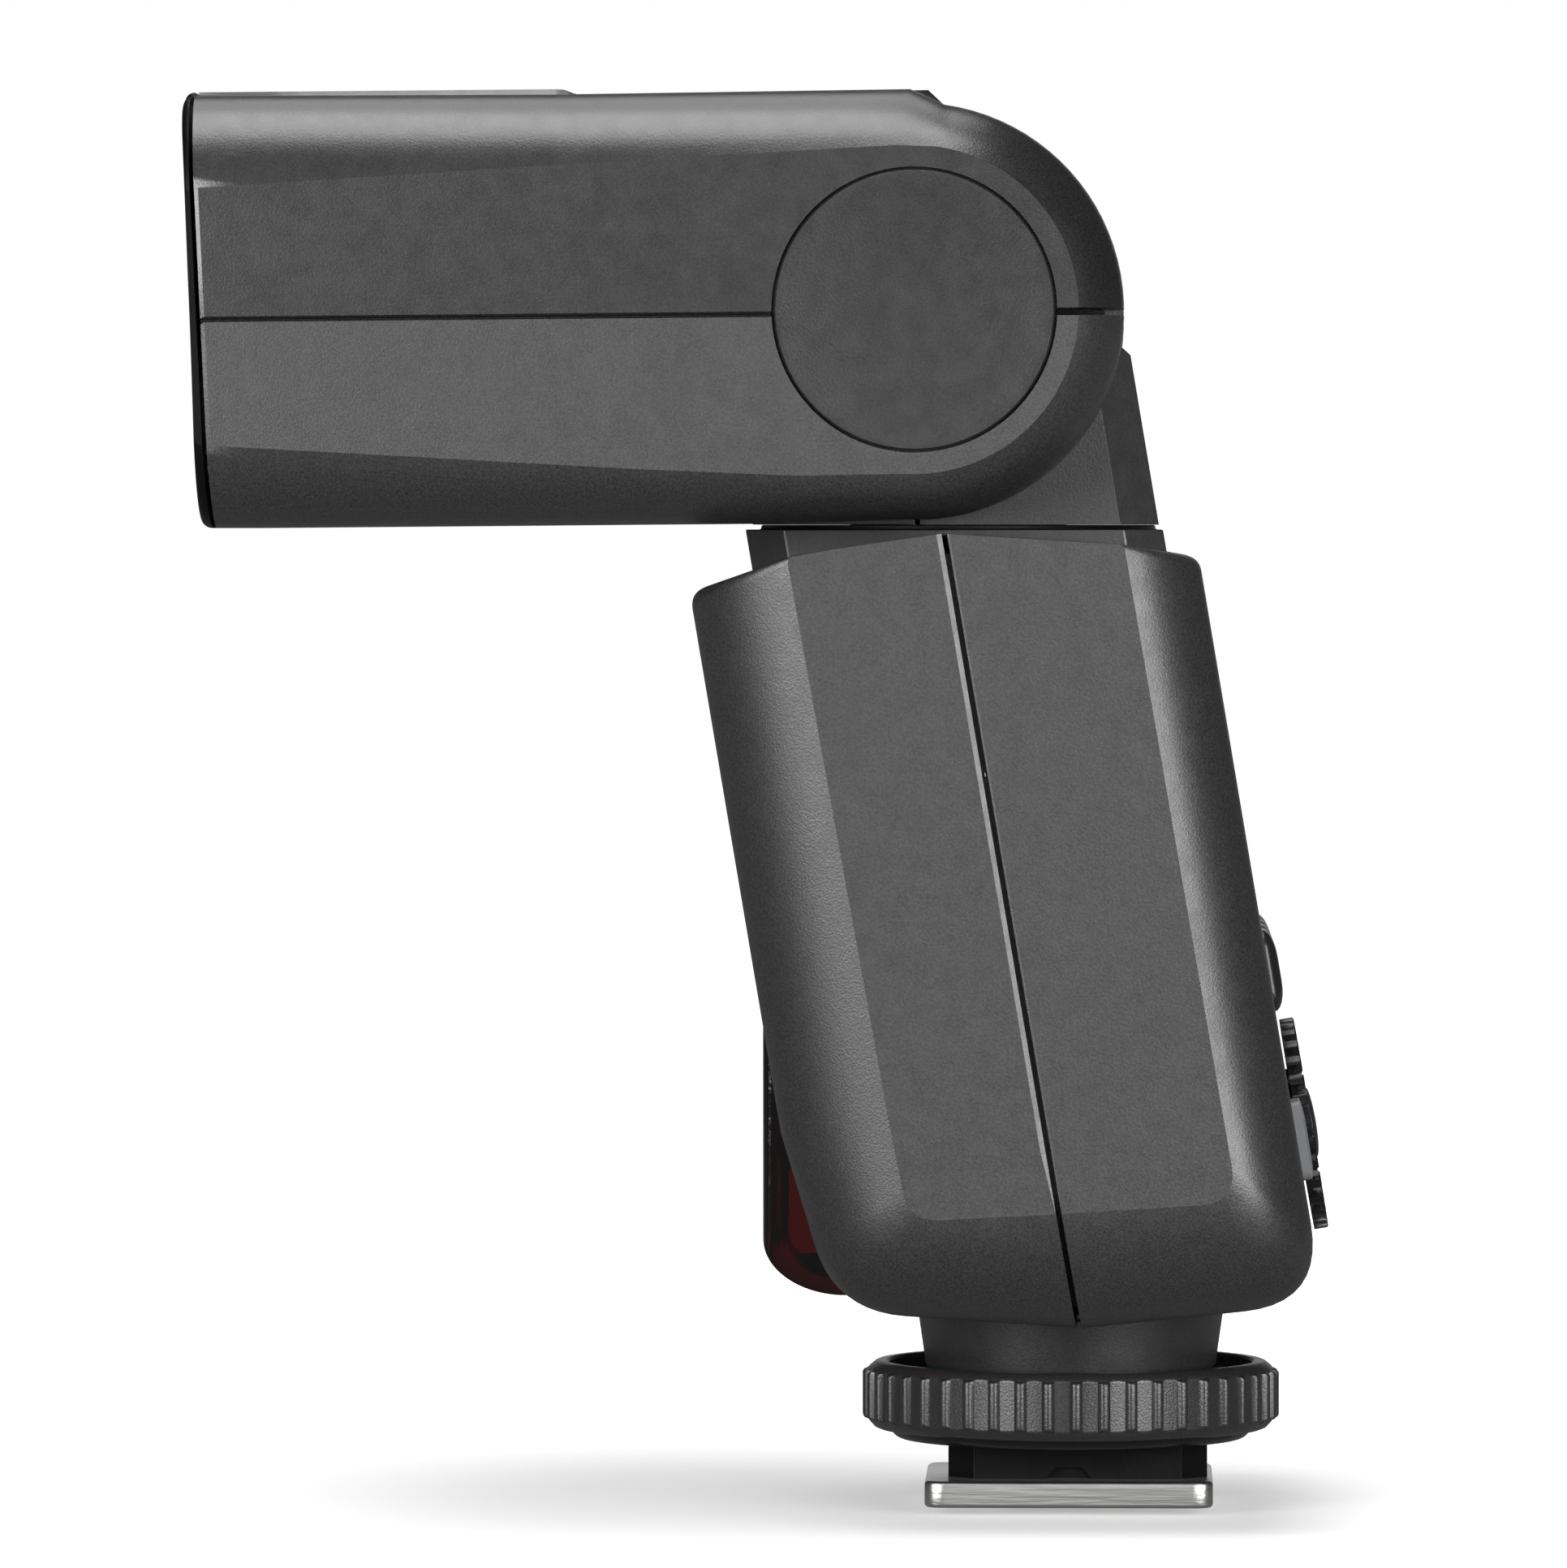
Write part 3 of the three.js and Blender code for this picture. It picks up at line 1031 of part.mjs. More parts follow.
function buildHeadShells() {
  const far = 2 * headReach;
  const ledges = [1, -1].map((sign) => solid(rodX(0, 0, capRadius + capLedge,
    sign > 0 ? ledgeInner : -ledgeOuter, sign > 0 ? ledgeOuter : -ledgeInner)));
  const outer = solid(headCasing(0));
  const hollow = cut(solid(headCasing(headWall)), slotSolid(headWall), ...ledges);
  const capHoles = [1, -1].flatMap((sign) => {
    const span = (from, to) => (sign > 0 ? [from, to] : [-to, -from]);
    return [
      solid(rodX(0, 0, capRadius + capGap, ...span(ledgeOuter, headHalf + cutOver), 2 * turnSteps)),
      solid(rodX(0, 0, capRadius - capLedge, ...span(ledgeInner - cutOver, headHalf)))];
  });
  const axleHole = solid(rodX(0, 0, axleRadius + gap, -ledgeInner, ledgeInner));
  const bay = solid(box(-panelHalfWidth - gap - trayRail - gap, panelHalfWidth + gap + trayRail + gap,
    -far, panelBack + gap, windowTop, panelBayTop + gap));
  const front = solid(box(-far, far, -far, bezelBack, -far, far), frontFace);
  const mouthWall = bezelWall + gap;
  const mouth = solid(prismY(roundedRectangle(windowBottom - mouthWall, windowTop + mouthWall,
    -windowWide / 2 - mouthWall, windowWide / 2 + mouthWall, bezelCorner), 0, bezelBack + headWall), frontFace);
  const shell = cut(outer, hollow, slotSolid(0), ...capHoles, axleHole, bay, mouth, front);
  const seamHalf = headSeamGap / 2;
  const seamAt = (y) => THREE.MathUtils.lerp(headSeamRear, headSeamFront,
    (headRadius - y) / (headRadius + headReach));
  const above = [[-far, seamAt(-far) + seamHalf], [far, seamAt(far) + seamHalf], [far, far], [-far, far]];
  const under = [[-far, seamAt(-far) - seamHalf], [far, seamAt(far) - seamHalf], [far, -far], [-far, -far]];
  add('head_upper_shell', 'head', 'casing', overlapOf(shell, solid(prismX(above, -far, far))));
  add('head_lower_shell', 'head', 'casing', overlapOf(shell, solid(prismX(under, -far, far))));
}

function buildHeadFront() {
  const far = 2 * headReach;
  const strip = overlapOf(solid(headCasing(0)), solid(box(-far, far, -far, bezelStrip, -far, far), frontFace));
  const windowHalf = windowWide / 2;
  const windowHole = solid(box(-windowHalf, windowHalf, -far, 0, windowBottom, windowTop));
  const collar = solid(prismY(roundedRectangle(windowBottom - bezelWall, windowTop + bezelWall,
    -windowHalf - bezelWall, windowHalf + bezelWall, bezelCorner), bezelStrip - gap,
  bezelStrip + bezelDepth), frontFace);
  const bayFloor = panelBayTop - 2 * gap - cardThickness - widePanelThickness - gap;
  const bayHole = solid(box(-panelHalfWidth - gap, panelHalfWidth + gap, -far, 0, bayFloor, panelBayTop + gap));
  const bayRoom = solid(box(-panelHalfWidth - 3 * gap - trayRail, panelHalfWidth + 3 * gap + trayRail,
    bezelBack - gap, far, bayFloor - trayFloor - gap, far), frontFace);
  add('front_bezel', 'head', 'gloss',
    cut(union(strip, collar), windowHole, bayHole, bayRoom));

  const lensHalf = windowHalf - gap;
  const lensTop = windowTop - gap;
  const lensBottom = windowBottom + gap;
  const flangeFront = bezelStrip + bezelDepth + gap;
  const lensBack = flangeFront + lensFlange;
  const ridgePitch = (lensTop - lensBottom) / lensRidges;
  const ridges = Array.from({ length: lensRidges }, (_, i) => {
    const z = lensBottom + i * ridgePitch;
    return [[lensBack, z], [lensBack + lensRidgeHeight, z + ridgePitch / 2]];
  }).flat();
  const lensProfile = [[lensRecess, lensBottom], ...ridges, [lensBack, lensTop], [lensRecess, lensTop]];
  add('fresnel_lens', 'head', 'clear', union(
    solid(prismX(lensProfile, -lensHalf, lensHalf), frontFace),
    solid(box(-windowHalf - lensFlange / 2, windowHalf + lensFlange / 2, flangeFront, lensBack,
      windowBottom - lensFlange / 2, windowTop), frontFace)));

  [['left', 1], ['right', -1]].forEach(([side, sign]) => {
    const profileX = [[0, capInnerFace], [capRadius, capInnerFace], [capRadius, capOuterFace],
      [capRadius / 2, capOuterFace - capDish * capDishShare], [0, capOuterFace - capDish]];
    add(`pivot_cap_${side}`, 'head', 'casing',
      turnedX(0, 0, profileX.map(([r, x]) => [r, sign * x]), 2 * turnSteps));
  });
}

function buildPanels() {
  const cardTop = panelBayTop;
  const cardBottom = cardTop - cardThickness;
  const wideTop = cardBottom - gap;
  const wideBottom = wideTop - widePanelThickness;
  const frontAt = (z) => -headReach + (headRise - z) * Math.tan(frontSlant) + gap;
  const panelFront = panelBack - panelLength;
  const panel = (bottom, top) => union(
    solid(box(-panelHalfWidth, panelHalfWidth, panelFront, panelBack, bottom, top)),
    solid(box(-panelHalfWidth / 2, panelHalfWidth / 2, frontAt(bottom), panelFront + panelLip, bottom, top)));
  add('bounce_card', 'head', 'white', panel(cardBottom, cardTop));
  add('wide_panel', 'head', 'clear', panel(wideBottom, wideTop));
  const floorTop = wideBottom - gap;
  const railInner = panelHalfWidth + gap;
  const trayFront = panelFront + bezelDepth;
  const rail = (sign) => solid(box(
    sign > 0 ? railInner : -railInner - trayRail, sign > 0 ? railInner + trayRail : -railInner,
    trayFront, panelBack, floorTop - trayFloor, cardTop - gap));
  add('panel_tray', 'head', 'gloss', union(
    solid(box(-railInner, railInner, trayFront, panelBack, floorTop - trayFloor, floorTop)),
    rail(1), rail(-1)));
}

function buildZoom() {
  const bow = (depth, tall, shift) => Array.from({ length: reflectorSteps + 1 }, (_, i) => {
    const share = (2 * i) / reflectorSteps - 1;
    return [reflectorMouth + shift + depth * (1 - share ** 2), reflectorCentre + (share * tall) / 2];
  });
  const outerBow = bow(reflectorDepth, reflectorTall, 0);
  const innerBow = bow(reflectorDepth - reflectorWall, reflectorTall - 2 * reflectorWall, 0);
  const tubePlace = reflectorMouth + reflectorDepth - tubeSetback;
  const half = reflectorHalfLength;
  const far = 2 * headReach;
  const mouthHalf = reflectorTall / 2 - reflectorWall;
  const mouthCut = innerBow.concat([
    [reflectorMouth - cutOver, reflectorCentre + mouthHalf],
    [reflectorMouth - cutOver, reflectorCentre - mouthHalf]]);
  add('reflector', 'head', 'mirror', cut(
    solid(prismX(outerBow, -half, half)),
    solid(prismX(mouthCut, -half + reflectorWall, half - reflectorWall)),
    solid(rodX(tubePlace, reflectorCentre, tubeRadius + gap, -far, far, smallTurnSteps))));
  add('flash_tube', 'head', 'glass',
    rodX(tubePlace, reflectorCentre, tubeRadius, -tubeHalfLength, tubeHalfLength, smallTurnSteps));

  const backFront = reflectorMouth + reflectorDepth + gap;
  const backRear = backFront + carriageBack;
  const tall = reflectorTall / 2;
  const armInner = half + gap;
  const arm = (sign) => solid(box(
    sign > 0 ? armInner : -armInner - carriageArm, sign > 0 ? armInner + carriageArm : -armInner,
    tubePlace - tubeRadius - carriageArm, backFront + gap,
    reflectorCentre - tall / 2, reflectorCentre + tall / 2));
  add('zoom_carriage', 'head', 'gloss', cut(
    union(
      solid(box(-armInner - carriageArm, armInner + carriageArm, backFront, backRear,
        reflectorCentre - tall + gap, reflectorCentre + tall - gap)),
      solid(box(-carriageHalfWidth, carriageHalfWidth, backFront, backRear,
        screwHeight - 2 * screwRadius, screwHeight + 2 * screwRadius)),
      arm(1), arm(-1)),
    ...[1, -1].map((sign) =>
      solid(rodY(sign * screwPlace, screwHeight, screwRadius + gap, -far, far, smallTurnSteps))),
    solid(rodX(tubePlace, reflectorCentre, tubeRadius + gap, -far, far, smallTurnSteps))));

  add('zoom_lead_screw', 'head', 'satinMetal', rodY(screwPlace, screwHeight, screwRadius,
    screwFront, motorFront - gap, smallTurnSteps));
  add('zoom_motor', 'head', 'satinMetal',
    rodY(screwPlace, screwHeight, motorRadius, motorFront, motorRear));
  add('zoom_guide_rod', 'head', 'satinMetal', rodY(-screwPlace, screwHeight, screwRadius,
    screwFront, rodRear, smallTurnSteps));
}

buildFoot();
buildLockRing();
buildNeck();
buildBodyShells();
buildAssistLamp();
buildControls();
buildElectronics();
buildBatteryDoor();
buildSwivel();
buildTrunk();
buildHeadShells();
buildHeadFront();
buildPanels();
buildZoom();

const speedlight = new THREE.Group();
speedlight.add(groups.world, groups.body, groups.head);
export default speedlight;
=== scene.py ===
"""Looks of a compact speedlight flash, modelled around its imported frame.

Lengths are in millimetres and become metres when a mesh is made. The frame is the part's own: +Z up,
the flash window faces -Y, +X is the flash's own left side. Three local frames are used: the world, the
leaning body (x, depth, height) and the head, whose origin is the tilt pivot.
"""
import logging
import math
from collections.abc import Callable, Sequence
from dataclasses import dataclass, field
from enum import Enum

import bmesh
import bpy
from mathutils import Matrix, Vector


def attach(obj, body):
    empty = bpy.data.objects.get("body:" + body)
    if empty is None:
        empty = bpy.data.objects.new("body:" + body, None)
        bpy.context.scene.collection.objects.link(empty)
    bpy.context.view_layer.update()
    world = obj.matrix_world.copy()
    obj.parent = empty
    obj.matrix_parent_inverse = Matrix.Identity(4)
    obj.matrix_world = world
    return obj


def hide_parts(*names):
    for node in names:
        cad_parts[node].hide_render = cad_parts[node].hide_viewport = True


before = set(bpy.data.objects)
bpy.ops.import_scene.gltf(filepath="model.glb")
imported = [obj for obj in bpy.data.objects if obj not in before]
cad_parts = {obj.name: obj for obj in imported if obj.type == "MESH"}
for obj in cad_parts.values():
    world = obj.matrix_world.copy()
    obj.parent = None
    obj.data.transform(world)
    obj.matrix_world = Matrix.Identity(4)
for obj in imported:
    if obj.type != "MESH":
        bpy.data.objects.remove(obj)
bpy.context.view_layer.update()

MM = 0.001
GAP = 0.3
SEAM = 0.36
SEAM_DEPTH = 1.4
SPLIT = 0.03
OVERRUN = 3.0
FAR = 150.0
MERGE_DISTANCE = 1e-7
HEAL_DISTANCE = 8e-6
CORNER_STEPS = 10
ROLL_STEPS = 12
PIECE = 3.5
TURN_STEPS = 96
PIN_STEPS = 32
CORNER_REACH_SHARE = 0.476
LEAST_MITER_SHARE = 0.5
CREASE_ANGLE = math.radians(21)
SMOOTH_ANGLE = math.radians(38)
CREASE_SHARP_ANGLE = math.radians(6)
FLAT_SIDE_REACH = 0.02
NOISE_RANGE = (0.3, 0.7)
GRAIN_DETAIL = 3.0
CLOUD_DETAIL = 4.0
CLOUD_GRAINS = 40
SHEEN_DETAIL = 2.0
SHEEN_GRAINS = 9
SHEEN_SWING = 0.08

Pair = tuple[float, float]
Corner = tuple[float, ...]
Outline = list[Pair]
Ring = list[Vector]

log = logging.getLogger("speedlight")


class Local(Enum):
    """The frames that pieces are modelled in."""

    WORLD = Matrix.Identity(4)
    BODY = Matrix.Translation((0, 0, 15.5 * MM)) @ Matrix.Rotation(math.radians(9.58), 4, "X")
    HEAD = Matrix.Translation((0, -10.98 * MM, 87.56 * MM))


class Along(Enum):
    """The axis that an outline runs along. Its pairs are (y, z), (x, z) or (x, y)."""

    X = 0
    Y = 1
    Z = 2

    def spot(self, a: float, b: float, level: float) -> Vector:
        """The point of an outline's pair at a level on the axis."""
        point = [a, b]
        point.insert(self.value, level)
        return Vector(point)


class Carve(Enum):
    """What a cutting piece does to the piece it meets."""

    CUT = "DIFFERENCE"
    JOIN = "UNION"
    KEEP = "INTERSECT"


class Grain(Enum):
    """The fine structure of a surface: how its pattern stretches along x, y and z."""

    ERODED = (1.0, 1.0, 1.0)
    MOULDED = (1.0, 1.2, 0.8)
    BRUSHED = (1.0, 0.06, 1.0)
    DRAWN = (0.06, 1.0, 1.0)


@dataclass(frozen=True)
class Finish:
    """A surface finish, made of noise for its grain, its colour and its gloss.

    Attributes:
        name: the name of the material.
        slot: the record's material slot; not used.
        colour: the linear base colour.
        roughness: the middle of the roughness.
        grain: the kind of fine structure.
        grain_size: the size of one grain.
        grain_depth: the strength of the grain's relief.
        mottle: how far the colour wanders, as a share.
        speckle: how far single grains are lighter or darker, as a share.
        metallic: 1 for bare metal.
        transmission: the share of light that goes through.
        coat: the strength of a clear top coat.
        specular: the strength of the plain reflection.
        glow: the strength of the light that it gives off in its own colour.
    """

    name: str
    slot: str
    colour: tuple[float, float, float]
    roughness: float
    grain: Grain = Grain.MOULDED
    grain_size: float = 0.5
    grain_depth: float = 0.08
    mottle: float = 0.06
    speckle: float = 0.0
    metallic: float = 0.0
    transmission: float = 0.0
    coat: float = 0.0
    specular: float = 0.5
    glow: float = 0.0

    def material(self) -> bpy.types.Material:
        """Makes the material, or returns the one made before.

        Returns:
            The node material of this finish.
        """
        made = bpy.data.materials.get(self.name)
        if made:
            return made
        made = bpy.data.materials.new(self.name)
        made.use_nodes = True
        nodes = made.node_tree.nodes
        links = made.node_tree.links
        shader = nodes["Principled BSDF"]
        place = nodes.new("ShaderNodeTexCoord")
        stretch = nodes.new("ShaderNodeMapping")
        stretch.inputs["Scale"].default_value = self.grain.value
        links.new(place.outputs["Object"], stretch.inputs["Vector"])

        def noise(size: float, detail: float) -> bpy.types.NodeSocket:
            """A noise whose features have a size."""
            texture = nodes.new("ShaderNodeTexNoise")
            texture.inputs["Scale"].default_value = 1 / (size * MM)
            texture.inputs["Detail"].default_value = detail
            links.new(stretch.outputs["Vector"], texture.inputs["Vector"])
            return texture.outputs["Fac"]

        def spread(source: bpy.types.NodeSocket, low: float, high: float) -> bpy.types.NodeSocket:
            """A noise spread between two values."""
            reach = nodes.new("ShaderNodeMapRange")
            reach.inputs["From Min"].default_value = NOISE_RANGE[0]
            reach.inputs["From Max"].default_value = NOISE_RANGE[1]
            reach.inputs["To Min"].default_value = low
            reach.inputs["To Max"].default_value = high
            links.new(source, reach.inputs["Value"])
            return reach.outputs["Result"]

        def product(first: bpy.types.NodeSocket, second: bpy.types.NodeSocket) -> bpy.types.NodeSocket:
            """One value times another."""
            times = nodes.new("ShaderNodeMath")
            times.operation = "MULTIPLY"
            links.new(first, times.inputs[0])
            links.new(second, times.inputs[1])
            return times.outputs["Value"]

        grain = noise(self.grain_size, GRAIN_DETAIL)
        cloud = noise(self.grain_size * CLOUD_GRAINS, CLOUD_DETAIL)
        shade = product(spread(cloud, 1 - self.mottle, 1 + self.mottle),
                        spread(grain, 1 - self.speckle, 1 + self.speckle))
        tint = nodes.new("ShaderNodeVectorMath")
        tint.operation = "SCALE"
        tint.inputs["Vector"].default_value = self.colour
        links.new(shade, tint.inputs["Scale"])
        links.new(tint.outputs["Vector"], shader.inputs["Base Color"])
        sheen = noise(self.grain_size * SHEEN_GRAINS, SHEEN_DETAIL)
        links.new(spread(sheen, self.roughness * (1 - SHEEN_SWING), self.roughness * (1 + SHEEN_SWING)),
                  shader.inputs["Roughness"])
        relief = nodes.new("ShaderNodeBump")
        relief.inputs["Strength"].default_value = self.grain_depth
        relief.inputs["Distance"].default_value = self.grain_size * MM
        links.new(grain, relief.inputs["Height"])
        links.new(relief.outputs["Normal"], shader.inputs["Normal"])
        shader.inputs["Metallic"].default_value = self.metallic
        shader.inputs["Transmission Weight"].default_value = self.transmission
        shader.inputs["Coat Weight"].default_value = self.coat
        shader.inputs["Specular IOR Level"].default_value = self.specular
        # A painted glow in the finish's own colour, where it has one.
        shader.inputs["Emission Color"].default_value = (*self.colour, 1)
        shader.inputs["Emission Strength"].default_value = self.glow
        return made


CASING = Finish("eroded_charcoal_plastic", "casing_plastic", (0.024, 0.024, 0.0245), 0.4, Grain.ERODED,
                0.16, 0.15, 0.05, 0.6, specular=0.85)
# The casing's charcoal plastic with painted shade: a darker colour on the head's upper shell and pivot caps,
# so that their facets stay dark under the top roll's highlight.
PAINTED_SHADE_CASING = Finish("charcoal_plastic_painted_shade", "casing_plastic", (0.0135, 0.0135, 0.014), 0.31, Grain.ERODED,
               0.16, 0.11, 0.05, 0.6, specular=0.85)
COVER = Finish("etched_dark_plastic", "casing_plastic", (0.022, 0.022, 0.0225), 0.4, Grain.ERODED,
               0.16, 0.12, 0.05, 0.3, specular=0.8)
RIBBED = Finish("etched_ring_plastic", "gloss_black", (0.02, 0.02, 0.0205), 0.34, Grain.ERODED,
                0.16, 0.14, 0.05, 0.3, specular=0.75)
GLOSS = Finish("smooth_black_plastic", "gloss_black", (0.008, 0.008, 0.0085), 0.26, Grain.MOULDED, 0.6, 0.04,
               specular=0.4)
MATT = Finish("matt_black_plastic", "gloss_black", (0.003, 0.003, 0.0035), 0.36, Grain.MOULDED, 0.3, 0.06,
              specular=0.15)
KEYCAP = Finish("black_keycap_plastic", "gloss_black", (0.012, 0.012, 0.0135), 0.33, Grain.MOULDED, 0.3, 0.06)
GREY = Finish("pale_grey_plastic", "grey_button", (0.2, 0.203, 0.21), 0.42, Grain.MOULDED, 0.3, 0.06)
STEEL = Finish("satin_plated_steel", "foot_metal", (0.62, 0.62, 0.61), 0.3, Grain.BRUSHED, 0.35, 0.12,
               0.05, 0.05, metallic=1.0)
TURNED_STEEL = Finish("turned_steel", "foot_metal", (0.58, 0.58, 0.57), 0.26, Grain.DRAWN, 0.3, 0.08,
                      metallic=1.0)
BRASS = Finish("plated_contact_brass", "contact_brass", (0.62, 0.42, 0.16), 0.24, Grain.MOULDED, 0.2, 0.06,
               metallic=1.0)
SMOKED = Finish("smoked_red_window", "smoked_red", (0.016, 0.0008, 0.0014), 0.06, Grain.MOULDED, 2.0, 0.02,
                transmission=1.0, coat=0.3, specular=0.9)
# The unlit red housing of the assist lamp, with a painted glow so that it shows red through the dark smoked
# window.
PAINTED_GLOW_RED = Finish("red_plastic_painted_glow", "lamp_red", (0.72, 0.008, 0.03), 0.3, Grain.MOULDED, 0.8, 0.05,
              0.12, glow=3.0)
LENS = Finish("prismatic_lens", "lens_clear", (0.86, 0.88, 0.88), 0.16, Grain.DRAWN, 0.5, 0.35,
              0.02, transmission=0.75)
CARD = Finish("white_card", "card_white", (0.82, 0.82, 0.8), 0.55, Grain.MOULDED, 0.4, 0.06, 0.03)
DISPLAY = Finish("display_glass", "gloss_black", (0.02, 0.023, 0.022), 0.08, Grain.MOULDED, 4.0, 0.01,
                 0.04, coat=0.5)
BOARD = Finish("green_circuit_board", "board_green", (0.014, 0.1, 0.04), 0.38, Grain.MOULDED, 1.2, 0.2, 0.2)
MIRROR = Finish("bright_reflector", "reflector_mirror", (0.86, 0.87, 0.88), 0.13, Grain.DRAWN, 0.4, 0.06,
                0.02, metallic=1.0)
GLASS = Finish("flash_tube_glass", "tube_glass", (0.84, 0.88, 0.9), 0.05, Grain.MOULDED, 2.0, 0.01,
               0.02, transmission=0.9)
WRAP = Finish("cell_wrap", "cell_wrap", (0.03, 0.09, 0.26), 0.3, Grain.DRAWN, 0.8, 0.03, 0.1, coat=0.3)


def deselect() -> None:
    """Goes to object mode and deselects everything."""
    if bpy.context.mode != "OBJECT":
        bpy.ops.object.mode_set(mode="OBJECT")
    bpy.ops.object.select_all(action="DESELECT")


def pick(*pieces: bpy.types.Object) -> None:
    """Selects only these pieces and makes the first one active."""
    deselect()
    for piece in pieces:
        piece.select_set(True)
    bpy.context.view_layer.objects.active = pieces[0]


def place_ring(piece: bpy.types.Object, ring: Ring) -> None:
    """Puts the selected vertices of a piece in edit mode at a ring's points, in order."""
    mesh = bmesh.from_edit_mesh(piece.data)
    number = mesh.verts.layers.int["number"]
    for vertex in mesh.verts:
        if vertex.select:
            vertex.co = ring[vertex[number]] * MM
    bmesh.update_edit_mesh(piece.data)


def loft(name: str, rings: Sequence[Ring], capped: bool = True) -> bpy.types.Object:
    """Extrudes a ring through all the others.

    Args:
        name: the new piece's name.
        rings: rings of equally many points.
        capped: closes the first and last ring with a face; otherwise the last ring meets the first.

    Returns:
        The new piece.
    """
    deselect()
    bpy.ops.mesh.primitive_circle_add(vertices=len(rings[0]), radius=MM, location=(0, 0, 0))
    piece = bpy.context.object
    piece.name = name
    piece.data.name = name
    bpy.ops.object.mode_set(mode="EDIT")
    mesh = bmesh.from_edit_mesh(piece.data)
    number = mesh.verts.layers.int.new("number")
    mesh.verts.ensure_lookup_table()
    for index, vertex in enumerate(mesh.verts):
        vertex[number] = index
    bmesh.update_edit_mesh(piece.data)
    bpy.ops.mesh.select_all(action="SELECT")
    place_ring(piece, rings[0])
    if capped:
        bpy.ops.mesh.edge_face_add()
    for ring in [*rings[1:], *([] if capped else [rings[0]])]:
        bpy.ops.mesh.extrude_region_move()
        place_ring(piece, ring)
    bpy.ops.mesh.select_all(action="SELECT")
    bpy.ops.mesh.remove_doubles(threshold=MERGE_DISTANCE)
    bpy.ops.mesh.normals_make_consistent(inside=False)
    bpy.ops.object.mode_set(mode="OBJECT")
    piece.data.attributes.remove(piece.data.attributes["number"])
    return piece


def prism(name: str, outline: Outline, low: float, high: float, along: Along) -> bpy.types.Object:
    """Extrudes an outline from one level to another along an axis."""
    return loft(name, [[along.spot(a, b, level) for a, b in outline] for level in (low, high)])


def block(name: str, x: Pair, y: Pair, z: Pair) -> bpy.types.Object:
    """A plain box between three pairs of levels, used as a cutter or as a start."""
    deselect()
    bpy.ops.mesh.primitive_cube_add(size=1, location=[(low + high) / 2 * MM for low, high in (x, y, z)],
                                    scale=[(high - low) * MM for low, high in (x, y, z)])
    piece = bpy.context.object
    piece.name = name
    bpy.ops.object.transform_apply(location=True, rotation=True, scale=True)
    return piece


def turned(name: str, centre: Pair, profile: Sequence[Pair], along: Along = Along.Z,
           steps: int = TURN_STEPS, bored: bool = False) -> bpy.types.Object:
    """Turns a profile of (radius, level) pairs about an axis.

    Args:
        name: the new piece's name.
        centre: where the axis crosses the plane of the other two coordinates.
        profile: the pairs, from one end to the other, or round the section of a bored piece.
        along: the direction of the axis.
        steps: the number of sides.
        bored: the profile closes on itself and leaves a bore.

    Returns:
        The new piece.
    """
    angles = [2 * math.pi * step / steps for step in range(steps)]
    rings = [[along.spot(centre[0] + radius * math.cos(angle), centre[1] + radius * math.sin(angle), level)
              for angle in angles] for radius, level in profile]
    return loft(name, rings, capped=not bored)


def rod(name: str, centre: Pair, radius: float, low: float, high: float, along: Along = Along.Z,
        steps: int = TURN_STEPS) -> bpy.types.Object:
    """A round cutter or bar."""
    return turned(name, centre, [(radius, low), (radius, high)], along, steps)


def carve(piece: bpy.types.Object, way: Carve, *tools: bpy.types.Object) -> bpy.types.Object:
    """Cuts, joins or keeps what is common to a piece and each tool, and removes the tools.

    Args:
        piece: the piece that changes.
        way: what the tools do.
        tools: the pieces used up.

    Returns:
        The changed piece.
    """
    for tool in tools:
        pick(piece)
        bpy.ops.object.modifier_add(type="BOOLEAN")
        step = piece.modifiers[-1]
        step.operation = way.value
        step.solver = "EXACT"
        step.object = tool
        bpy.ops.object.modifier_apply(modifier=step.name)
    pick(*tools)
    bpy.ops.object.delete()
    return piece


def soften(piece: bpy.types.Object, width: float, segments: int = 2, angle: float = 40) -> bpy.types.Object:
    """Rounds the sharp edges of a piece by a small width."""
    pick(piece)
    bpy.ops.object.modifier_add(type="BEVEL")
    edge = piece.modifiers[-1]
    edge.width = width * MM
    edge.segments = segments
    edge.limit_method = "ANGLE"
    edge.angle_limit = math.radians(angle)
    edge.miter_outer = "MITER_ARC"
    bpy.ops.object.modifier_apply(modifier=edge.name)
    return piece


def settle(piece: bpy.types.Object, local: Local) -> bpy.types.Object:
    """Takes a piece from its local frame into the part's frame, with its place in its mesh."""
    pick(piece)
    piece.matrix_world = local.value
    bpy.ops.object.transform_apply(location=True, rotation=True, scale=True)
    return piece


def into(piece: bpy.types.Object, local: Local) -> bpy.types.Object:
    """Takes a piece from the part's frame into a local frame."""
    pick(piece)
    piece.matrix_world = local.value.inverted()
    bpy.ops.object.transform_apply(location=True, rotation=True, scale=True)
    return piece


def twin(piece: bpy.types.Object, name: str) -> bpy.types.Object:
    """A copy of a piece with its own mesh."""
    pick(piece)
    bpy.ops.object.duplicate()
    copy = bpy.context.object
    copy.name = name
    copy.data.name = name
    return copy


def rectangle(a0: float, a1: float, b0: float, b1: float) -> Outline:
    """A rectangle between two pairs of levels."""
    return [(a0, b0), (a1, b0), (a1, b1), (a0, b1)]


def chamfered(a0: float, a1: float, b0: float, b1: float, cut: float) -> Outline:
    """A rectangle with its four corners cut off."""
    return [(a0 + cut, b0), (a1 - cut, b0), (a1, b0 + cut), (a1, b1 - cut),
            (a1 - cut, b1), (a0 + cut, b1), (a0, b1 - cut), (a0, b0 + cut)]


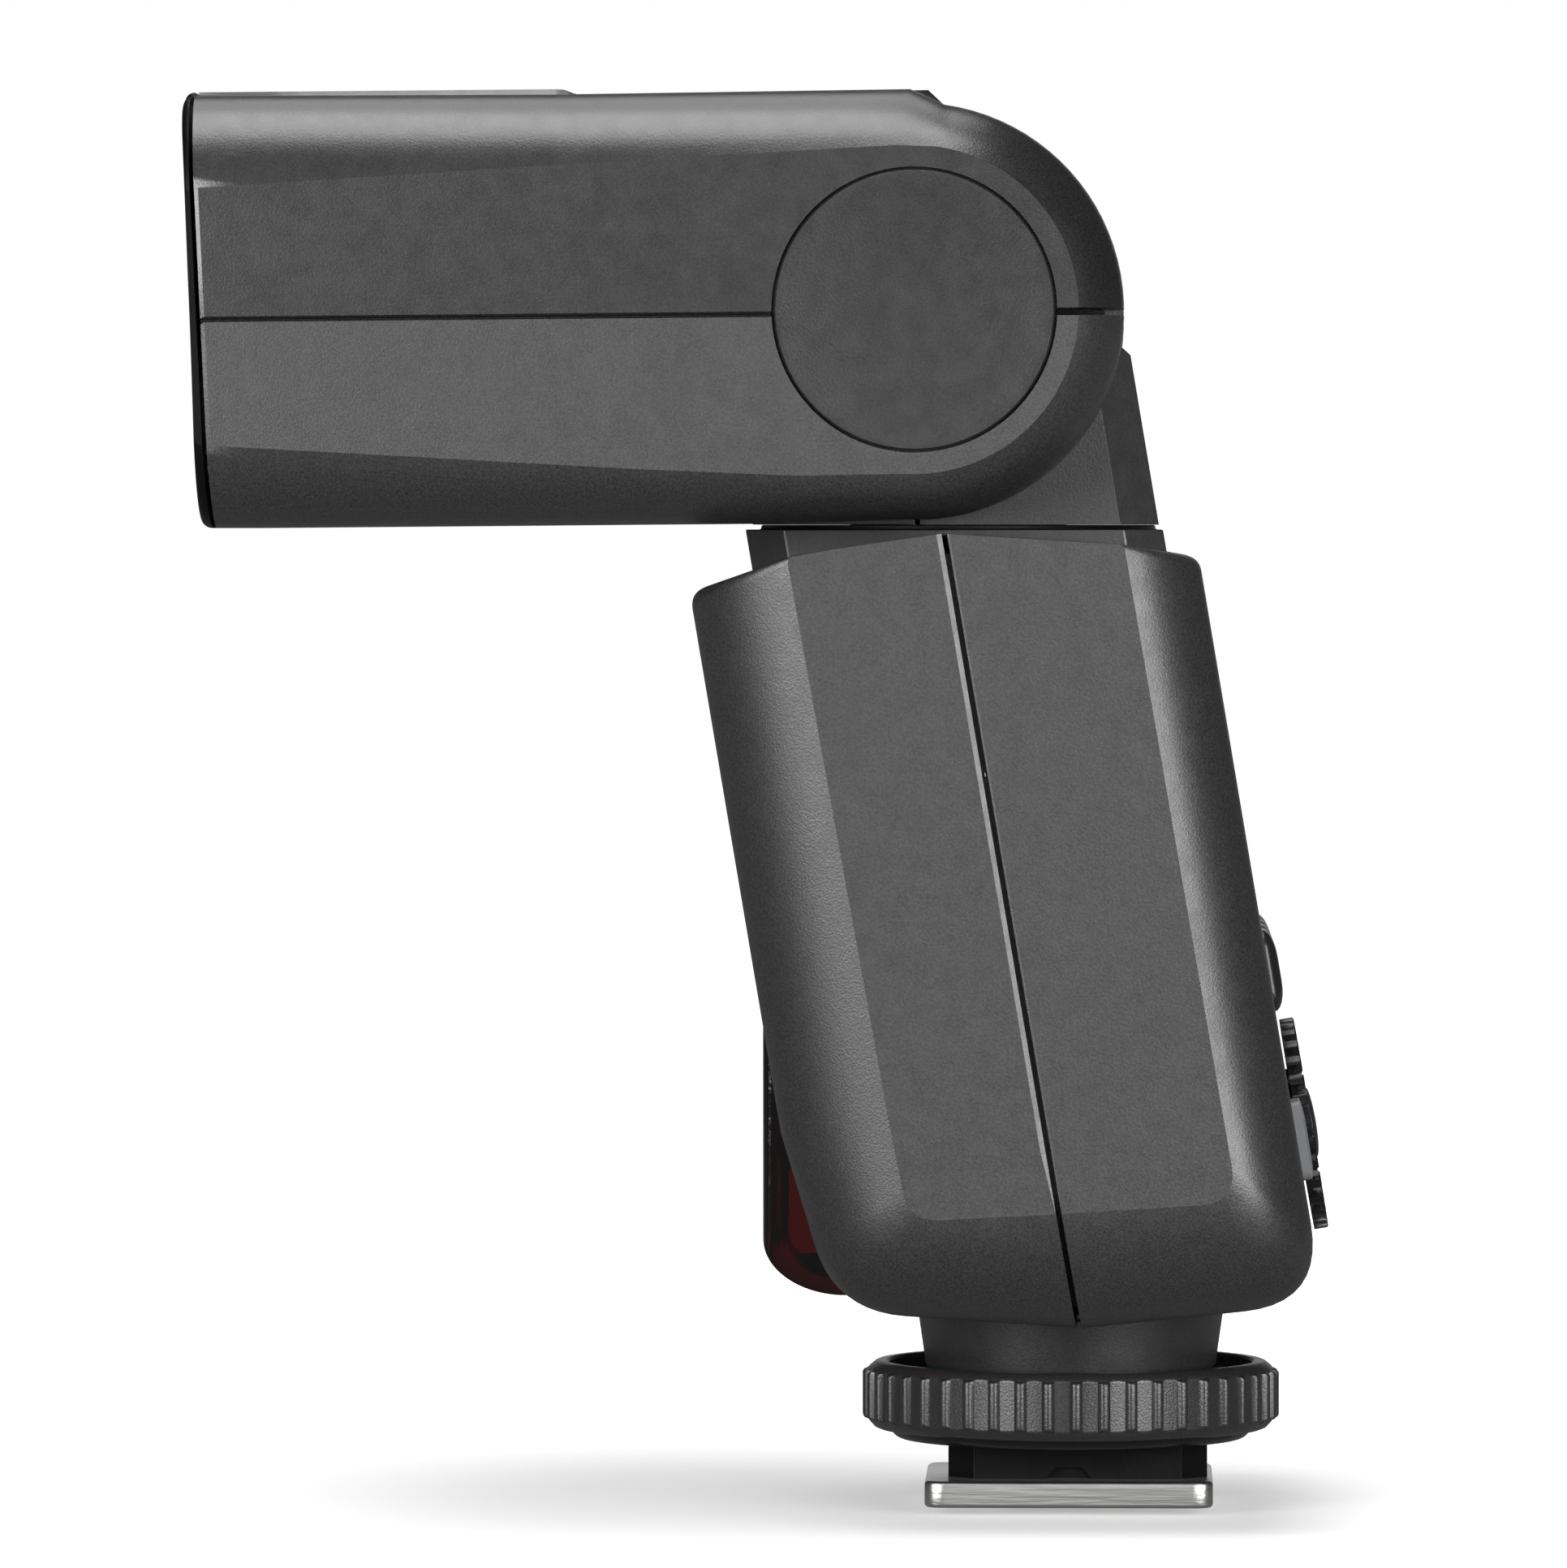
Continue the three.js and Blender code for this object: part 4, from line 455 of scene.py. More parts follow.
def rounded(corners: Sequence[Corner], steps: int = CORNER_STEPS) -> Outline:
    """Rounds the corners of an outline that have a radius.

    Args:
        corners: (a, b) where sharp, (a, b, radius) where round.
        steps: the number of straight pieces in a round corner.

    Returns:
        The outline's points.
    """
    outline: Outline = []
    for index, corner in enumerate(corners):
        here = Vector(corner[:2])
        if len(corner) < 3:
            outline.append((here.x, here.y))
            continue
        back = Vector(corners[index - 1][:2]) - here
        onward = Vector(corners[(index + 1) % len(corners)][:2]) - here
        turn = math.pi - back.angle(onward)
        reach = min(corner[2] * math.tan(turn / 2), back.length * CORNER_REACH_SHARE,
                    onward.length * CORNER_REACH_SHARE)
        start = here + back.normalized() * reach
        end = here + onward.normalized() * reach
        for step in range(steps + 1):
            t = step / steps
            point = start * (1 - t) ** 2 + here * 2 * t * (1 - t) + end * t ** 2
            outline.append((point.x, point.y))
    return outline


def divided(outline: Outline, counts: Sequence[int]) -> Outline:
    """Cuts each side of an outline into its number of equal pieces."""
    points: Outline = []
    for start, end, count in zip(outline, [*outline[1:], outline[0]], counts):
        spots = [Vector(start).lerp(Vector(end), step / count) for step in range(count)]
        points += [(spot.x, spot.y) for spot in spots]
    return points


def rounded_box(a0: float, a1: float, b0: float, b1: float, radius: float, steps: int = 6) -> Outline:
    """A rectangle with round corners."""
    return rounded([(a, b, radius) for a, b in rectangle(a0, a1, b0, b1)], steps)


def signed_area(outline: Sequence[Corner]) -> float:
    """Twice the area of an outline, positive where it runs counterclockwise."""
    return sum(a[0] * b[1] - b[0] * a[1] for a, b in zip(outline, [*outline[1:], outline[0]]))


def inset(outline: Sequence[Corner], wall: float) -> list[Corner]:
    """Moves the corners of an outline inwards by a wall, and takes the wall off their radii."""
    side = math.copysign(1, signed_area(outline))
    moved: list[Corner] = []
    for index, corner in enumerate(outline):
        here = Vector(corner[:2])
        towards = (here - Vector(outline[index - 1][:2])).normalized()
        away = (Vector(outline[(index + 1) % len(outline)][:2]) - here).normalized()
        normal = Vector((-towards.y - away.y, towards.x + away.x)).normalized()
        miter = max(normal.dot(Vector((-towards.y, towards.x))), LEAST_MITER_SHARE)
        point = here + normal * (side * wall / miter)
        moved.append((point.x, point.y, *(max(radius - wall, SEAM) for radius in corner[2:])))
    return moved


def scaled(shares: Sequence[Corner], a: float, b: float, unit: float) -> list[Corner]:
    """Scales shares of two sizes into an outline's corners."""
    return [(corner[0] * a, corner[1] * b, *(radius * unit for radius in corner[2:])) for corner in shares]


def circle(radius: float, start: float, end: float, steps: int) -> Outline:
    """Points of an arc about the origin, angles in radians."""
    return [(radius * math.cos(start + (end - start) * step / steps),
             radius * math.sin(start + (end - start) * step / steps)) for step in range(steps + 1)]


@dataclass
class Casing:
    """A hollow moulding whose flat side rolls over into its full outline with a soft crease.

    Attributes:
        full: the corners of the full outline.
        flat: the corners of the flat side.
        half: half the width.
        roll: how far the roll reaches in from the flat side.
        middle: further (x, corners) sections, towards the middle.
        crease: gives the angle of the crease at a point of the flat side's outline.
    """

    full: list[Corner]
    flat: list[Corner]
    half: float
    roll: float
    middle: list[tuple[float, list[Corner]]] = field(default_factory=list)
    crease: Callable[[Pair], float] = lambda place: CREASE_ANGLE

    def solid(self, name: str, wall: float = 0.0) -> bpy.types.Object:
        """The casing's solid, moved inwards by a wall."""
        plain = rounded(self.full)
        counts = [max(1, round(math.dist(start, end) / PIECE))
                  for start, end in zip(plain, [*plain[1:], plain[0]])]

        def points(corners: list[Corner]) -> Outline:
            """An outline's points, moved inwards by the wall and divided like the full outline."""
            return divided(rounded(inset(corners, wall)), counts)

        half = self.half - wall
        rings = [[self.rolled(a, b, half, step / ROLL_STEPS)
                  for a, b in zip(points(self.flat), points(self.full))]
                 for step in range(ROLL_STEPS + 1)]
        for x, corners in self.middle:
            rings.append([Along.X.spot(a, b, x) for a, b in points(corners)])
        mirrored = [[Vector((-point.x, point.y, point.z)) for point in ring] for ring in rings]
        return loft(name, mirrored + rings[::-1])

    def rolled(self, side: Pair, outer: Pair, half: float, share: float) -> Vector:
        """A point of the roll between the flat side and the full outline.

        Args:
            side: the point where the roll leaves the flat side, at the angle of its crease.
            outer: the point where the roll meets the full outline.
            half: half the width.
            share: how far round the roll the point lies.

        Returns:
            The point.
        """
        crease = self.crease(side)
        angle = crease + (math.pi / 2 - crease) * share
        inwards = 1 - math.cos(angle) / math.cos(crease)
        outwards = (math.sin(angle) - math.sin(crease)) / (1 - math.sin(crease))
        a, b = (start + (end - start) * outwards for start, end in zip(side, outer))
        return Along.X.spot(a, b, half - self.roll * inwards)

    def groove(self, band: bpy.types.Object) -> bpy.types.Object:
        """The cutter of a shallow seam: what a band takes of the outer skin."""
        skin = self.solid("seam_groove", -GAP)
        carve(skin, Carve.CUT, self.solid("core", SEAM_DEPTH))
        return carve(skin, Carve.KEEP, band)


class SubAssembly:
    """What every sub-assembly of the flash shares: how a finished piece is dressed and reported."""

    local = Local.WORLD

    def dress(self, piece: bpy.types.Object, finish: Finish, body: str, *nodes: str,
              crease: float | None = None) -> bpy.types.Object:
        """Moves a piece into place, smooths, paints and hangs it, and lets it stand for CAD nodes.

        Args:
            piece: the modelled piece.
            finish: its finish.
            body: the body that it moves with.
            nodes: the nodes that it stands for.
            crease: the x of flat sides whose edges stay crisp.

        Returns:
            The finished piece.
        """
        self.heal(piece)
        bpy.ops.object.shade_smooth_by_angle(angle=SMOOTH_ANGLE)
        if crease is not None:
            self.sharpen(piece, crease)
        bpy.ops.object.modifier_add(type="WEIGHTED_NORMAL")
        piece.modifiers[-1].keep_sharp = True
        bpy.ops.object.modifier_apply(modifier=piece.modifiers[-1].name)
        settle(piece, self.local)
        piece.data.materials.clear()
        piece.data.materials.append(finish.material())
        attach(piece, body)
        if nodes:
            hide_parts(*nodes)
        log.info("%s: %s on %s", piece.name, finish.name, body)
        return piece

    def heal(self, piece: bpy.types.Object) -> None:
        """Merges doubled points, dissolves needle faces and closes the slits that cuts leave."""
        pick(piece)
        bpy.ops.object.mode_set(mode="EDIT")
        bpy.ops.mesh.select_mode(type="VERT")
        bpy.ops.mesh.select_all(action="SELECT")
        bpy.ops.mesh.remove_doubles(threshold=HEAL_DISTANCE)
        bpy.ops.mesh.dissolve_degenerate(threshold=HEAL_DISTANCE)
        bpy.ops.mesh.select_all(action="DESELECT")
        bpy.ops.mesh.select_non_manifold()
        bpy.ops.mesh.fill_holes(sides=0)
        bpy.ops.object.mode_set(mode="OBJECT")

    def sharpen(self, piece: bpy.types.Object, crease: float) -> None:
        """Marks the outer edges of the flat sides at plus and minus an x as sharp."""
        pick(piece)
        bpy.ops.object.mode_set(mode="EDIT")
        mesh = bmesh.from_edit_mesh(piece.data)
        bpy.ops.mesh.select_all(action="DESELECT")
        for edge in mesh.edges:
            outside = all(abs(vertex.co.x) > (crease - FLAT_SIDE_REACH) * MM for vertex in edge.verts)
            if outside and len(edge.link_faces) == 2 and edge.calc_face_angle(0) > CREASE_SHARP_ANGLE:
                edge.smooth = False
        bmesh.update_edit_mesh(piece.data)
        bpy.ops.object.mode_set(mode="OBJECT")
        pick(piece)


@dataclass
class Head(SubAssembly):
    """The zoom head: two shells, front frame, lens, pivot caps, pull-out panels, reflector and flash tube.

    Attributes are sizes measured from the tilt pivot, and shares of the head's reach and rise.
    """

    local = Local.HEAD
    width: float = 62
    roll: float = 6.5
    reach: float = 52.97
    rise: float = 15.93
    radius: float = 15
    flat_radius: float = 11.75
    wall: float = 1.8
    arc_steps: int = 44
    top_end: float = 0.84
    top_end_chamfer: float = 1.23
    end_height_share: float = 1.0056
    raised_half: float = 21.5
    raised_edge: float = 0.5
    seam_rear: float = -0.1
    seam_front: float = -0.7
    seam_gap: float = 0.4
    seam_slot: float = 0.8
    rear_gap: float = 0.54
    edge: float = 0.12
    top_creases: Pair = (math.radians(11), math.radians(31))
    bottom_creases: Pair = (math.radians(21), math.radians(9))
    rear_crease: float = math.radians(38)
    plain_end: Pair = (-0.4, 15.98)
    slot_half: float = 17.6
    slot_radius: float = 13.9
    slot_rear: float = 22
    cap_radius: float = 10.05
    cap_gap: float = 0.17
    cap_thickness: float = 1.5
    cap_dish: float = 0.3
    cap_rim_share: float = 0.95
    cap_dish_shares: tuple[float, ...] = (0.85, 0.7, 0.55, 0.4, 0.25, 0.1)
    ledge_width: float = 1.8
    axle_radius: float = 4.8
    front_slant: float = math.radians(2.75)
    front_chamfer: Pair = (0.14, 0.3)
    strip: float = 0.75
    frame_depth: float = 1.2
    frame_flange: float = 1
    frame_cut_depth: float = 9
    shell_window_depth: float = 6
    window_half: float = 24.5
    window_top: float = 10.4
    window_bottom: float = -12
    window_corner: float = 3
    lens_recess: float = 0.5
    lens_flange: float = 0.8
    lens_ridges: int = 36
    lens_ridge_height: float = 0.3
    panel_half: float = 22.2
    panel_length: float = 25
    panel_back: float = -27.2
    card_thickness: float = 0.8
    wide_thickness: float = 1.0
    panel_corner: float = 1.5
    tab_corner: float = 0.3
    bay_top: float = 15.05
    tray_rail: float = 0.9
    mouth: float = -35.6
    bowl_depth: float = 11.0
    bowl_height: float = 20.0
    bowl_centre: float = -0.9
    bowl_half: float = 20.5
    bowl_wall: float = 0.7
    bowl_steps: int = 36
    tube_radius: float = 1.9
    tube_half: float = 23.6
    tube_setback: float = 3.4
    tube_end_share: float = 0.6
    tube_end_length: float = 0.8
    top_shares: tuple[Corner, ...] = ((-1, 0.998, 0.055), (-0.493, 1.011), (-0.481, 1.009), (-0.469, 0.993),
                                      (-0.456, 0.983))
    plain_top_shares: tuple[Corner, ...] = ((-0.997, 0.975, 0.055), (-0.493, 0.98), (-0.481, 0.9805),
                                            (-0.469, 0.981), (-0.456, 0.982))
    flat_top_shares: tuple[Corner, ...] = ((-0.984, 0.545, 0.04), (-0.493, 0.648), (-0.481, 0.65),
                                           (-0.469, 0.6525), (-0.456, 0.655))
    bottom_shares: tuple[Corner, ...] = ((-0.16, -0.958), (-0.38, -0.964), (-0.972, -0.981, 0.055))
    flat_bottom_shares: tuple[Corner, ...] = ((-0.16, -0.745), (-0.38, -0.714), (-0.974, -0.606, 0.04))

    def outline(self, top: Sequence[Corner], bottom: Sequence[Corner], radius: float,
                end: Pair) -> list[Corner]:
        """The corners of one section: front, top, rounded rear and bottom."""
        start = math.acos((self.top_end + self.top_end_chamfer) / self.radius)
        finish = -math.pi / 2 - math.asin(self.top_end / self.radius)
        return [*scaled(top, self.reach, self.rise, self.rise), end,
                *circle(radius, start, finish, self.arc_steps),
                *scaled(bottom, self.reach, self.rise, self.rise)]

    def casing(self) -> Casing:
        """The head's casing with its raised middle."""
        end = (self.top_end, self.end_height_share * self.rise)
        flat = self.outline(self.flat_top_shares, self.flat_bottom_shares, self.flat_radius,
                            (-self.top_end_chamfer, self.flat_radius))
        plain = self.outline(self.plain_top_shares, self.bottom_shares, self.radius, self.plain_end)
        middle = self.outline(self.top_shares, self.bottom_shares, self.radius, end)
        return Casing(plain, flat, self.width / 2, self.roll,
                      [(self.raised_half + self.raised_edge, plain), (self.raised_half, middle)], self.crease)

    def crease(self, place: Pair) -> float:
        """The crease's angle: along the top it grows towards the pivot, along the bottom it fades."""
        y, z = place
        front, pivot = self.top_creases if z > 0 else self.bottom_creases
        if y > 0:
            return pivot + (self.rear_crease - pivot) * min(y / self.flat_radius, 1)
        return pivot + (front - pivot) * min(-y / self.reach, 1)

    def slot(self, grow: float) -> bpy.types.Object:
        """The room for the trunk between the cheeks, grown by a wall."""
        radius = self.slot_radius + grow
        half = self.slot_half + grow
        top = self.top_end + self.top_end_chamfer - grow
        arc = [(y, z) for y, z in circle(radius, math.pi, math.acos(top / radius), self.arc_steps)]
        outline = [*arc, (top, FAR), (self.slot_rear, FAR), (self.slot_rear, -FAR), (-radius, -FAR)]
        return prism("slot", outline, -half, half, Along.X)

    def front_cut(self, depth: float, chamfer: Pair = (1, 0)) -> bpy.types.Object:
        """Everything that lies less than a depth behind the slanted front face.

        Args:
            depth: the distance behind the front face.
            chamfer: how deep and how wide the edges at the flat sides are broken.

        Returns:
            The cutter.
        """
        lean = math.tan(self.front_slant)
        start = -self.reach + depth
        deep, wide = chamfer
        inside = self.width / 2 - deep
        outside = inside + deep + OVERRUN
        back = start + wide * (OVERRUN + deep) / deep
        section = [(outside, -FAR), (outside, back), (inside, start), (-inside, start), (-outside, back),
                   (-outside, -FAR)]
        return loft("front_cut", [[Vector((x, y + (self.rise - z) * lean, z)) for x, y in section]
                                  for z in (-FAR, FAR)])

    def window(self, grow: float, depth: float) -> bpy.types.Object:
        """The lens opening, grown by a wall, from the front to a depth."""
        outline = rounded_box(-self.window_half - grow, self.window_half + grow,
                              self.window_bottom - grow, self.window_top + grow, self.window_corner)
        return prism("window", outline, -self.reach - OVERRUN, -self.reach + depth, Along.Y)

    def bay(self, grow: float, back: float) -> bpy.types.Object:
        """The bay of the two pull-out panels."""
        half = self.panel_half + GAP + grow
        return block("bay", (-half, half), (-FAR, back),
                     (self.bay_top - self.card_thickness - self.wide_thickness - 3 * GAP - grow,
                      self.bay_top + GAP))

    def build_shells(self) -> None:
        """Upper and lower shell, split along the seam."""
        casing = self.casing()
        half = self.width / 2
        ledge_outer = half - self.cap_thickness - GAP
        ledge_inner = ledge_outer - self.cap_thickness
        hollow = casing.solid("hollow", self.wall)
        ledges = [rod("ledge", (0, 0), self.cap_radius + self.ledge_width, sign * ledge_inner,
                      sign * ledge_outer, Along.X) for sign in (1, -1)]
        carve(hollow, Carve.CUT, self.slot(self.wall), *ledges)
        shell = casing.solid("head_shell")
        holes = [rod("cap_hole", (0, 0), self.cap_radius + self.cap_gap, sign * ledge_outer,
                     sign * (half + OVERRUN), Along.X) for sign in (1, -1)]
        inner_holes = [rod("cap_seat", (0, 0), self.cap_radius - self.ledge_width,
                           sign * (ledge_inner - OVERRUN), sign * half, Along.X) for sign in (1, -1)]
        carve(shell, Carve.CUT, hollow, self.slot(0), *holes, *inner_holes,
              rod("axle_hole", (0, 0), self.axle_radius, -ledge_inner, ledge_inner, Along.X),
              self.bay(2 * GAP + self.tray_rail, self.panel_back + GAP),
              self.window(self.frame_flange + GAP, self.shell_window_depth),
              self.front_cut(self.strip + GAP, self.front_chamfer))
        groove = casing.groove(self.rear_band("band", self.rear_gap, -FAR, FAR))
        cuts = [self.rear_band("rear_slot", self.rear_gap - SPLIT, *reach) for reach in
                ((-FAR, -self.slot_half - self.wall), (self.slot_half + self.wall, FAR))]
        carve(shell, Carve.CUT, groove, *cuts, *self.side_slots())
        lower = twin(shell, "head_lower_casing")
        shell.name = "head_upper_casing"
        # The upper shell gets the casing plastic with painted shade, the lower shell the plain casing
        # plastic.
        for piece, finish, node, low, high in ((shell, PAINTED_SHADE_CASING, "head_upper_shell", SPLIT / 2, FAR),
                                               (lower, CASING, "head_lower_shell", -FAR, -SPLIT / 2)):
            carve(piece, Carve.KEEP, self.seam_band("half", low, high))
            soften(piece, self.edge, angle=55)
            self.dress(piece, finish, "head", node, crease=half)

    def seam_level(self, y: float) -> float:
        """The height of the seam, which falls towards the front."""
        slope = (self.seam_rear - self.seam_front) / (self.radius + self.reach)
        return self.seam_rear + (y - self.radius) * slope

    def side_slots(self) -> list[bpy.types.Object]:
        """The seam's slots in the flat sides, which slant down as they go in, so that they stay dark."""
        half, gap = self.width / 2, self.seam_gap / 2
        slots = []
        for sign in (1, -1):
            rings = [[Vector((sign * x, y, self.seam_level(y) + x - half + side))
                      for x, side in ((half - self.seam_slot, -gap), (half + GAP, -gap), (half + GAP, gap),
                                      (half - self.seam_slot, gap))]
                     for y in (-FAR, -self.cap_radius + OVERRUN)]
            slots.append(loft("side_slot", rings))
        return slots

    def rear_band(self, name: str, gap: float, low: float, high: float) -> bpy.types.Object:
        """The seam's gap behind the pivot caps, between two levels of x."""
        band = self.seam_band(name, -gap / 2, gap / 2)
        start = self.cap_radius - gap
        return carve(band, Carve.KEEP, block("rear_part", (low, high), (start, FAR), (-FAR, FAR)))

    def seam_band(self, name: str, low: float, high: float) -> bpy.types.Object:
        """Everything between two distances from the seam."""
        front, rear = self.seam_level(-FAR), self.seam_level(FAR)
        return prism(name, [(-FAR, front + low), (FAR, rear + low), (FAR, rear + high), (-FAR, front + high)],
                     -FAR, FAR, Along.X)

    def build_front(self) -> None:
        """The thin front frame with the lens behind it."""
        strip = self.casing().solid("front_frame")
        rim = self.window(self.frame_flange, self.strip + self.frame_depth)
        carve(rim, Carve.CUT, self.front_cut(GAP))
        carve(strip, Carve.KEEP, self.front_cut(self.strip))
        carve(strip, Carve.JOIN, rim)
        carve(strip, Carve.CUT, self.window(0, self.frame_cut_depth), self.bay(0, 0))
        soften(strip, self.edge, angle=50)
        self.dress(strip, MATT, "head", "front_bezel", crease=self.width / 2)

        front = -self.reach + self.lens_recess
        back = -self.reach + self.strip + self.frame_depth + GAP + self.lens_flange
        low, high = self.window_bottom + GAP, self.window_top - GAP
        pitch = (high - low) / self.lens_ridges
        lean = math.tan(self.front_slant)
        ridges = [(back + (self.rise - low - ridge * pitch) * lean + (ridge % 2) * self.lens_ridge_height,
                   low + ridge * pitch) for ridge in range(self.lens_ridges + 1)]
        outline = [(front + (self.rise - low) * lean, low), *ridges,
                   (front + (self.rise - high) * lean, high)]
        half = self.window_half - GAP
        lens = prism("prismatic_window", outline, -half, half, Along.X)
        corner = rounded_box(-half, half, low, high, self.window_corner - GAP)
        carve(lens, Carve.KEEP, prism("lens_outline", corner, -self.reach - OVERRUN, 0, Along.Y))
        self.dress(soften(lens, self.edge, angle=60), LENS, "head", "fresnel_lens")

    def build_caps(self) -> None:
        """The two round pivot caps, with a shallow dish and a soft rim."""
        outer = self.width / 2
        inner = outer - self.cap_thickness
        rim = self.edge
        dish = [(self.cap_radius * share, outer - self.cap_dish * (1 - share ** 2))
                for share in self.cap_dish_shares]
        for side, sign in (("left", 1), ("right", -1)):
            profile = [(self.cap_radius, inner), (self.cap_radius, outer - rim),
                       (self.cap_radius - rim, outer), (self.cap_radius * self.cap_rim_share, outer), *dish]
            cap = turned(f"{side}_pivot_cover", (0, 0), [(radius, sign * x) for radius, x in profile],
                         Along.X)
            # The caps get the casing plastic with painted shade.
            self.dress(cap, PAINTED_SHADE_CASING, "head", f"pivot_cap_{side}")

    def build_panels(self) -> None:
        """The bounce card and the wide panel, each with its finger tab."""
        card_bottom = self.bay_top - self.card_thickness
        wide_top = card_bottom - GAP
        lean = math.tan(self.front_slant)
        for name, node, finish, body, low, high in (
                ("bounce_reflector_card", "bounce_card", CARD, "card", card_bottom, self.bay_top),
                ("wide_diffuser", "wide_panel", LENS, "panel", wide_top - self.wide_thickness, wide_top)):
            front = self.panel_back - self.panel_length
            tab_front = -self.reach + (self.rise - low) * lean + GAP
            tab = self.panel_half / 2
            outline = rounded([(-self.panel_half, self.panel_back),
                               (-self.panel_half, front, self.panel_corner),
                               (-tab, front), (-tab, tab_front, self.tab_corner),
                               (tab, tab_front, self.tab_corner), (tab, front),
                               (self.panel_half, front, self.panel_corner),
                               (self.panel_half, self.panel_back)], steps=5)
            sheet = prism(name, outline, low, high, Along.Z)
            self.dress(soften(sheet, self.edge, angle=50), finish, body, node)

    def build_lamp(self) -> None:
        """The curved reflector and the flash tube in it, carried by the zoom carriage."""
        mouth, tall, centre = self.mouth, self.bowl_height, self.bowl_centre
        half, wall, tube = self.bowl_half, self.bowl_wall, self.tube_radius
        reflector = prism("curved_reflector", self.bowl(self.bowl_depth, tall), -half, half, Along.X)
        room = [*self.bowl(self.bowl_depth - wall, tall - 2 * wall),
                (mouth - OVERRUN, centre + tall / 2 - wall), (mouth - OVERRUN, centre - tall / 2 + wall)]
        axis = mouth + self.bowl_depth - self.tube_setback
        carve(reflector, Carve.CUT, prism("room", room, -half + wall, half - wall, Along.X),
              rod("tube_hole", (axis, centre), tube + GAP, -FAR, FAR, Along.X, PIN_STEPS))
        self.dress(reflector, MIRROR, "carriage", "reflector")
        end, neck = self.tube_half, tube * self.tube_end_share
        bulb = turned("flash_tube_envelope", (axis, centre),
                      [(neck, -end), (tube, -end + self.tube_end_length), (tube, end - self.tube_end_length),
                       (neck, end)], Along.X, PIN_STEPS)
        self.dress(bulb, GLASS, "carriage", "flash_tube")

    def bowl(self, reach: float, height: float) -> Outline:
        """The curve of the reflector's section."""
        places = [2 * step / self.bowl_steps - 1 for step in range(self.bowl_steps + 1)]
        return [(self.mouth + reach * (1 - place ** 2), self.bowl_centre + place * height / 2)
                for place in places]

    def build(self) -> None:
        """Builds the whole head."""
        self.build_shells()
        self.build_front()
        self.build_caps()
        self.build_panels()
        self.build_lamp()


@dataclass
class Trunk(SubAssembly):
    """The hollow trunk between the head's cheeks, split into a front and a rear cover."""

    local = Local.HEAD
    width: float = 34.4
    bottom: float = -15.36
    front: float = -12.07
    rear: float = 17.54
    shoulder: Pair = (15.47, -3.02)
    ledge: Pair = (14.88, -2.49)
    corner: float = 2.8
    drum: float = 13.4
    drum_steps: int = 48
    wall: float = 2
    hub_hole: float = 8.3
    hub_place: float = 2.73
    axle_hole: float = 4.8
    edge: float = 0.14

    def build(self) -> None:
        """Both covers, with their chamfered corners."""
        half = self.width / 2
        reach = math.hypot(self.front, self.bottom)
        tangent = math.pi + math.atan2(-self.bottom, -self.front) - math.acos(self.drum / reach)
        start = math.asin(self.ledge[1] / self.drum)
        drum = circle(self.drum, start, tangent, self.drum_steps)
        foot = [(self.front, self.bottom), (self.rear, self.bottom)]
        shell = prism("trunk", [*foot, self.shoulder, self.ledge, *drum], -half, half, Along.X)
        slope = (self.rear - self.shoulder[0]) / (self.shoulder[1] - self.bottom)
        front_slope = math.tan(tangent - math.pi)
        plan = []
        for z in (self.bottom, self.drum + GAP):
            rise = z - self.bottom
            plan.append([Vector((x, y, z)) for x, y in chamfered(-half, half, self.front - rise * front_slope,
                                                                 self.rear - rise * slope, self.corner)])
        carve(shell, Carve.KEEP, loft("plan", plan))
        inner_half = half - self.wall
        hollow = prism("hollow", rounded(inset([*foot, *drum], self.wall)), -inner_half, inner_half, Along.X)
        carve(shell, Carve.CUT, hollow,
              rod("hub_hole", (0, self.hub_place), self.hub_hole, -FAR, self.bottom + self.wall + GAP),
              rod("axle_hole", (0, 0), self.axle_hole, -FAR, FAR, Along.X))
        rear = twin(shell, "trunk_rear_shell")
        shell.name = "trunk_front_shell"
        for piece, node, span in ((shell, "trunk_front_cover", (-FAR, -SEAM / 2)),
                                  (rear, "trunk_rear_cover", (SEAM / 2, FAR))):
            carve(piece, Carve.KEEP, block("side", (-FAR, FAR), span, (-FAR, FAR)))
            self.dress(soften(piece, self.edge, angle=25), COVER, "trunk", node)


